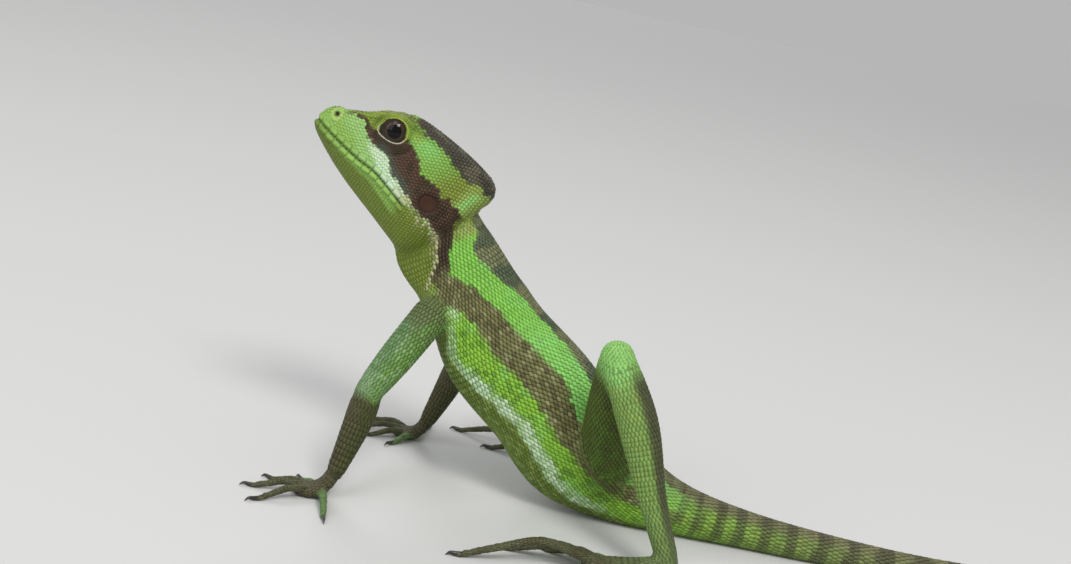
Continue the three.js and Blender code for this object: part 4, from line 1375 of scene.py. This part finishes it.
def make_eyes():
    soup = Soup()
    for hand in (-1, 1):
        soup.add(sphere_points(EYE_R, eye_centre(hand), HEAD_SIDE * hand, HEAD_UP, 48, 64))
    points = np.vstack(soup.points)
    made = new_object("eyes", points, soup.faces)
    left = (points - HEAD_FROM) @ HEAD_SIDE < 0
    rel = points - np.where(left[:, None], eye_centre(-1), eye_centre(1))
    out = np.abs(rel @ HEAD_SIDE)
    radius = np.sqrt(np.maximum((rel ** 2).sum(1) - out ** 2, 0))
    streak = noise(points, 0.45, 21)
    colour = blend(plain(IRIS, len(points)), IRIS_EDGE, 0.8 * ease(radius, 2.7, 3.3))
    colour = blend(colour, IRIS_RING, 0.45 * bell(radius - PUPIL - 0.22, 0.16) * (0.5 + streak))
    colour = blend(colour, IRIS_STREAK, 0.6 * ease(streak, 0.5, 0.8))
    colour = blend(colour, PUPIL_BLACK, 1 - ease(radius, PUPIL - 0.08, PUPIL + 0.08))
    paint(made.data, colour)
    return made


def make_lid_rims(bed):
    """The edge of each eye's opening: a smooth yellow-green line above, pale beads below."""
    soup = Soup()
    count, turns = 120, 8
    angle = np.arange(count) * 360 / count
    t = np.radians(angle)
    reach = lid_opening(angle) + 0.12
    turn = np.linspace(0, 2 * pi, turns, endpoint=False)
    lower = 1 - ease(np.abs(angle - 275), 70, 90)
    for hand in (-1, 1):
        centre = eye_centre(hand)
        back, up = EYE_AT[0] + reach * np.cos(t), EYE_AT[1] + reach * np.sin(t)
        start = head_at(back, up, np.full(count, hand * FAR_SIDE))
        path, _, _ = bed.drop(start, -HEAD_SIDE * hand)
        path = smoothed_ring(path, 3)
        along = unit(np.roll(path, -1, 0) - np.roll(path, 1, 0))
        away = unit(path - centre)
        third = np.cross(along, away)
        bead = 0.2 - lower * 0.05 * (1 - np.cos(angle / 360 * 2 * pi * 30))
        flat = np.cos(turn)[None, :, None] * away[:, None] + np.sin(turn)[None, :, None] * third[:, None]
        soup.points.append((path[:, None] + bead[:, None, None] * flat).reshape(-1, 3))
        first = soup.count
        soup.count += count * turns
        for k in range(count):
            n = (k + 1) % count
            here, there = first + k * turns, first + n * turns
            for i in range(turns):
                j = (i + 1) % turns
                soup.faces.append([here + i, here + j, there + j, there + i])
    points = np.vstack(soup.points)
    made = new_object("lid_rims", points, soup.faces)
    below = np.tile(np.repeat(lower, turns), 2)
    paint(made.data, blend(plain(RIM_UPPER, len(points)), RIM_LOWER, below))
    return made


def smoothed_ring(path, rounds):
    for _ in range(rounds):
        path = (np.roll(path, 1, 0) + 2 * path + np.roll(path, -1, 0)) / 4
    return path


# Each ring of an eardrum: its radius, and how far it stands out of the skin
EARDRUM_RINGS = ((2.3, -0.5), (2.3, 0.06), (2.0, 0.16), (1.4, 0.08), (0.8, 0.02), (0.2, 0.0))


def make_eardrums(bed):
    soup = Soup()
    angle = np.linspace(0, 2 * pi, 36, endpoint=False)
    for hand in (-1, 1):
        spot, normal, _ = bed.drop(head_at(EAR_AT[0], EAR_AT[1], hand * FAR_SIDE), -HEAD_SIDE * hand)
        out = normal[0]
        level = unit(HEAD_BACK - out * (HEAD_BACK @ out))
        tall = np.cross(out, level)
        circle = np.outer(np.cos(angle), level) + 0.9 * np.outer(np.sin(angle), tall)
        soup.add([spot[0] + radius * circle + out * lift for radius, lift in EARDRUM_RINGS])
    points = np.vstack(soup.points)
    made = new_object("eardrums", points, soup.faces)
    paint(made.data, blend(plain(EAR, len(points)), EARDRUM, 0.6 * noise(points, 1.2, 22)))
    return made


def make_claws():
    soup = Soup()
    for name, path, thick in CLAWS:
        end, before = path[4], path[3]
        along = unit(end - before)
        level = unit(along * (1, 1, 0))
        start = end + along * -0.4
        points = [start, start + along * CLAW_LENGTH * 0.35 + (0, 0, 0.35), start + level * CLAW_LENGTH * 0.8,
                  start + level * (CLAW_LENGTH * 0.98 + 0.3)]
        points[2] = at_height(points[2], 0.75)
        points[3] = at_height(points[3], 0.14)
        sizes = [(w * thick, d * thick) for w, d in ((0.52, 0.56), (0.42, 0.52), (0.26, 0.32), (0.07, 0.09))]
        soup.add(tube_rings(Tube(name, points, sizes), 10, 3.0, 0, (True, True)))
    points = np.vstack(soup.points)
    points[:, 2] = np.maximum(points[:, 2], 0)
    made = new_object("claws", points, soup.faces)
    paint(made.data, blend(plain(CLAW, len(points)), CLAW_DARK, noise(points, 1.0, 23)))
    return made


# Materials

def noise_node(tree, where, scale, detail):
    made = tree.nodes.new("ShaderNodeTexNoise")
    made.inputs["Scale"].default_value = scale
    made.inputs["Detail"].default_value = detail
    tree.links.new(where.outputs["Object"], made.inputs["Vector"])
    return made.outputs["Fac"]


def material(name, roughness, bump=0.0, bump_size=1.0, coat=0.0, specular=0.5, variation=0.0):
    made = bpy.data.materials.new(name)
    made.use_nodes = True
    tree = made.node_tree
    shader = tree.nodes["Principled BSDF"]
    mark = tree.nodes.new("ShaderNodeAttribute")
    mark.attribute_name = "Marking"
    where = tree.nodes.new("ShaderNodeTexCoord")
    colour = mark.outputs["Color"]
    if variation:
        span = tree.nodes.new("ShaderNodeMapRange")
        ends = {"From Min": 0.3, "From Max": 0.7, "To Min": 1 - variation, "To Max": 1 + variation}
        for key, value in ends.items():
            span.inputs[key].default_value = value
        tree.links.new(noise_node(tree, where, 1400, 4), span.inputs["Value"])
        mixed = tree.nodes.new("ShaderNodeVectorMath")
        mixed.operation = "SCALE"
        tree.links.new(colour, mixed.inputs[0])
        tree.links.new(span.outputs["Result"], mixed.inputs["Scale"])
        colour = mixed.outputs[0]
    tree.links.new(colour, shader.inputs["Base Color"])
    shader.inputs["Roughness"].default_value = roughness
    shader.inputs["Specular IOR Level"].default_value = specular
    shader.inputs["Coat Weight"].default_value = coat
    shader.inputs["Coat Roughness"].default_value = 0.03
    if bump:
        lift = tree.nodes.new("ShaderNodeBump")
        lift.inputs["Strength"].default_value = bump
        lift.inputs["Distance"].default_value = 0.0002
        tree.links.new(noise_node(tree, where, 1000 / bump_size, 3), lift.inputs["Height"])
        tree.links.new(lift.outputs["Normal"], shader.inputs["Normal"])
    return made


def dress(made, look, slot, *nodes):
    made.data.materials.clear()
    made.data.materials.append(look)
    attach(made, "root")
    if nodes:
        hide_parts(*nodes)


# The stage

# The camera's distance and the point that it looks at are in millimetres.
CAMERA_TILT = radians(12)
CAMERA_ABOVE = radians(12)
CAMERA_FAR = 330.0
CAMERA_AT = np.array((40.4, 0, 55.9))
PIXELS_PER_MM = 4.1
FRAME_WIDTH = 1071
# In metres
FLOOR_REACH = 40
LIT_POINT = (-0.16, 0, 0.04)


def make_camera():
    ahead = np.array((0, cos(CAMERA_ABOVE), -sin(CAMERA_ABOVE)))
    level, tall = np.array((1, 0, 0)), np.array((0, sin(CAMERA_ABOVE), cos(CAMERA_ABOVE)))
    right = cos(CAMERA_TILT) * level + sin(CAMERA_TILT) * tall
    up = -sin(CAMERA_TILT) * level + cos(CAMERA_TILT) * tall
    data = bpy.data.cameras.new("camera")
    data.sensor_width = 36
    data.lens = 36 * PIXELS_PER_MM * CAMERA_FAR / FRAME_WIDTH
    data.clip_start = 0.01
    data.clip_end = 100
    made = placed("camera", data)
    turn = Matrix((right, up, -ahead)).transposed().to_4x4()
    turn.translation = Vector(to_frame(CAMERA_AT - ahead * CAMERA_FAR))
    made.matrix_world = turn
    bpy.context.scene.camera = made


def make_floor():
    data = bpy.data.meshes.new("floor")
    around = np.linspace(0, 2 * pi, 64, endpoint=False)
    corners = [(FLOOR_REACH * cos(a), FLOOR_REACH * sin(a), 0) for a in around]
    data.from_pydata(corners, [], [tuple(range(len(corners)))])
    made = placed("floor", data)
    look = bpy.data.materials.new("floor")
    look.use_nodes = True
    shader = look.node_tree.nodes["Principled BSDF"]
    shader.inputs["Base Color"].default_value = (0.6, 0.6, 0.598, 1)
    shader.inputs["Roughness"].default_value = 0.8
    data.materials.append(look)


def make_light(name, at, size, power, colour=(1, 1, 1)):
    data = bpy.data.lights.new(name, "AREA")
    data.size = size
    data.energy = power
    data.color = colour
    made = placed(name, data)
    made.location = at
    made.rotation_euler = (Vector(LIT_POINT) - Vector(at)).to_track_quat("-Z", "Y").to_euler()


def make_sun(name, power, turn):
    data = bpy.data.lights.new(name, "SUN")
    data.energy = power
    data.angle = radians(25)
    made = placed(name, data)
    made.rotation_euler = [radians(a) for a in turn]


def make_stage():
    make_camera()
    make_floor()
    make_light("key", (0.25, -1.05, 1.4), 0.5, 15, (1, 0.98, 0.95))
    make_light("fill", (-1.0, -0.9, 0.7), 1.0, 5, (0.96, 0.98, 1))
    make_sun("even", 0.5, (30, 0, -20))
    make_sun("behind", 0.6, (-50, 0, 10))
    world = bpy.data.worlds.new("studio")
    world.use_nodes = True
    world.node_tree.nodes["Background"].inputs["Color"].default_value = (0.94, 0.94, 0.94, 1)
    world.node_tree.nodes["Background"].inputs["Strength"].default_value = 0.5
    bpy.context.scene.world = world
    bpy.context.scene.view_settings.view_transform = "Standard"


def trunk_columns(station):
    """How many scales stand round the body."""
    return 60 if station < 2.4 else 76 if station < 6.5 else 62 if station < 7.3 else 50


def build():
    skin = grow_skin()
    paint(skin.data, under_scales(mesh_points(skin.data)))
    bed, taken = Bed(skin.data), Taken()
    scaly = material("scales", 0.52, bump=0.2, bump_size=0.5, variation=0.1, specular=0.3)
    plated = material("head scales", 0.55, bump=0.1, bump_size=0.3, variation=0.05, specular=0.3)
    under = material("skin", 0.6, bump=0.4, bump_size=0.4, variation=0.1, specular=0.25)
    wet = material("eyes", 0.06, specular=0.22)
    drum = material("eardrums", 0.6, bump=0.2, bump_size=0.6, specular=0.15)
    horn = material("claws", 0.3, bump=0.15, bump_size=0.4, coat=0.2)
    parts = ("upper_arm", "forearm", "hand", "thigh", "shank", "foot")
    flesh = ["head", "neck", "torso", *[f"tail_{i}" for i in range(1, 6)]]
    flesh += [f"{part}_{side}" for part in parts for side in ("left", "right")]
    dress(skin, under, "trunk", *flesh)
    dress(coat_lids(bed, taken), plated, "head")
    dress(coat_lips(bed), plated, "head")
    dress(coat_head(bed, taken), plated, "head")
    trunk = coat_spine("coat_trunk", bed, taken, 0.0, 8.0, lambda s: 0.95 + 0.17 * ease(s, 1.5, 3.5), None,
                       lambda s: 0.15 + 0.07 * ease(s, 1, 3), trunk_columns)
    dress(trunk, scaly, "trunk")
    tail = coat_spine("coat_tail", bed, taken, 8.0, LAST - 0.02, lambda s: 1.35 - 0.3 * ease(s, 12, 18),
                      lambda s: 1.08, lambda s: 0.24 - 0.12 * ease(s, 10, 17))
    dress(tail, scaly, "tail")
    numbered = list(enumerate(TUBES, 2))
    fore = [(k, t) for k, t in numbered if "arm" in t.name or "hand" in t.name]
    hind = [(k, t) for k, t in numbered if (k, t) not in fore]
    dress(coat_tubes("coat_arms", bed, taken, fore), scaly, "limb")
    dress(coat_tubes("coat_legs", bed, taken, hind), scaly, "limb")
    dress(make_eyes(), wet, "eye", "eye_left", "eye_right")
    dress(make_lid_rims(bed), under, "head")
    dress(make_eardrums(bed), drum, "eardrum", "eardrum_left", "eardrum_right")
    dress(make_claws(), horn, "claw", *[c[0] for c in CLAWS])


make_stage()
build()
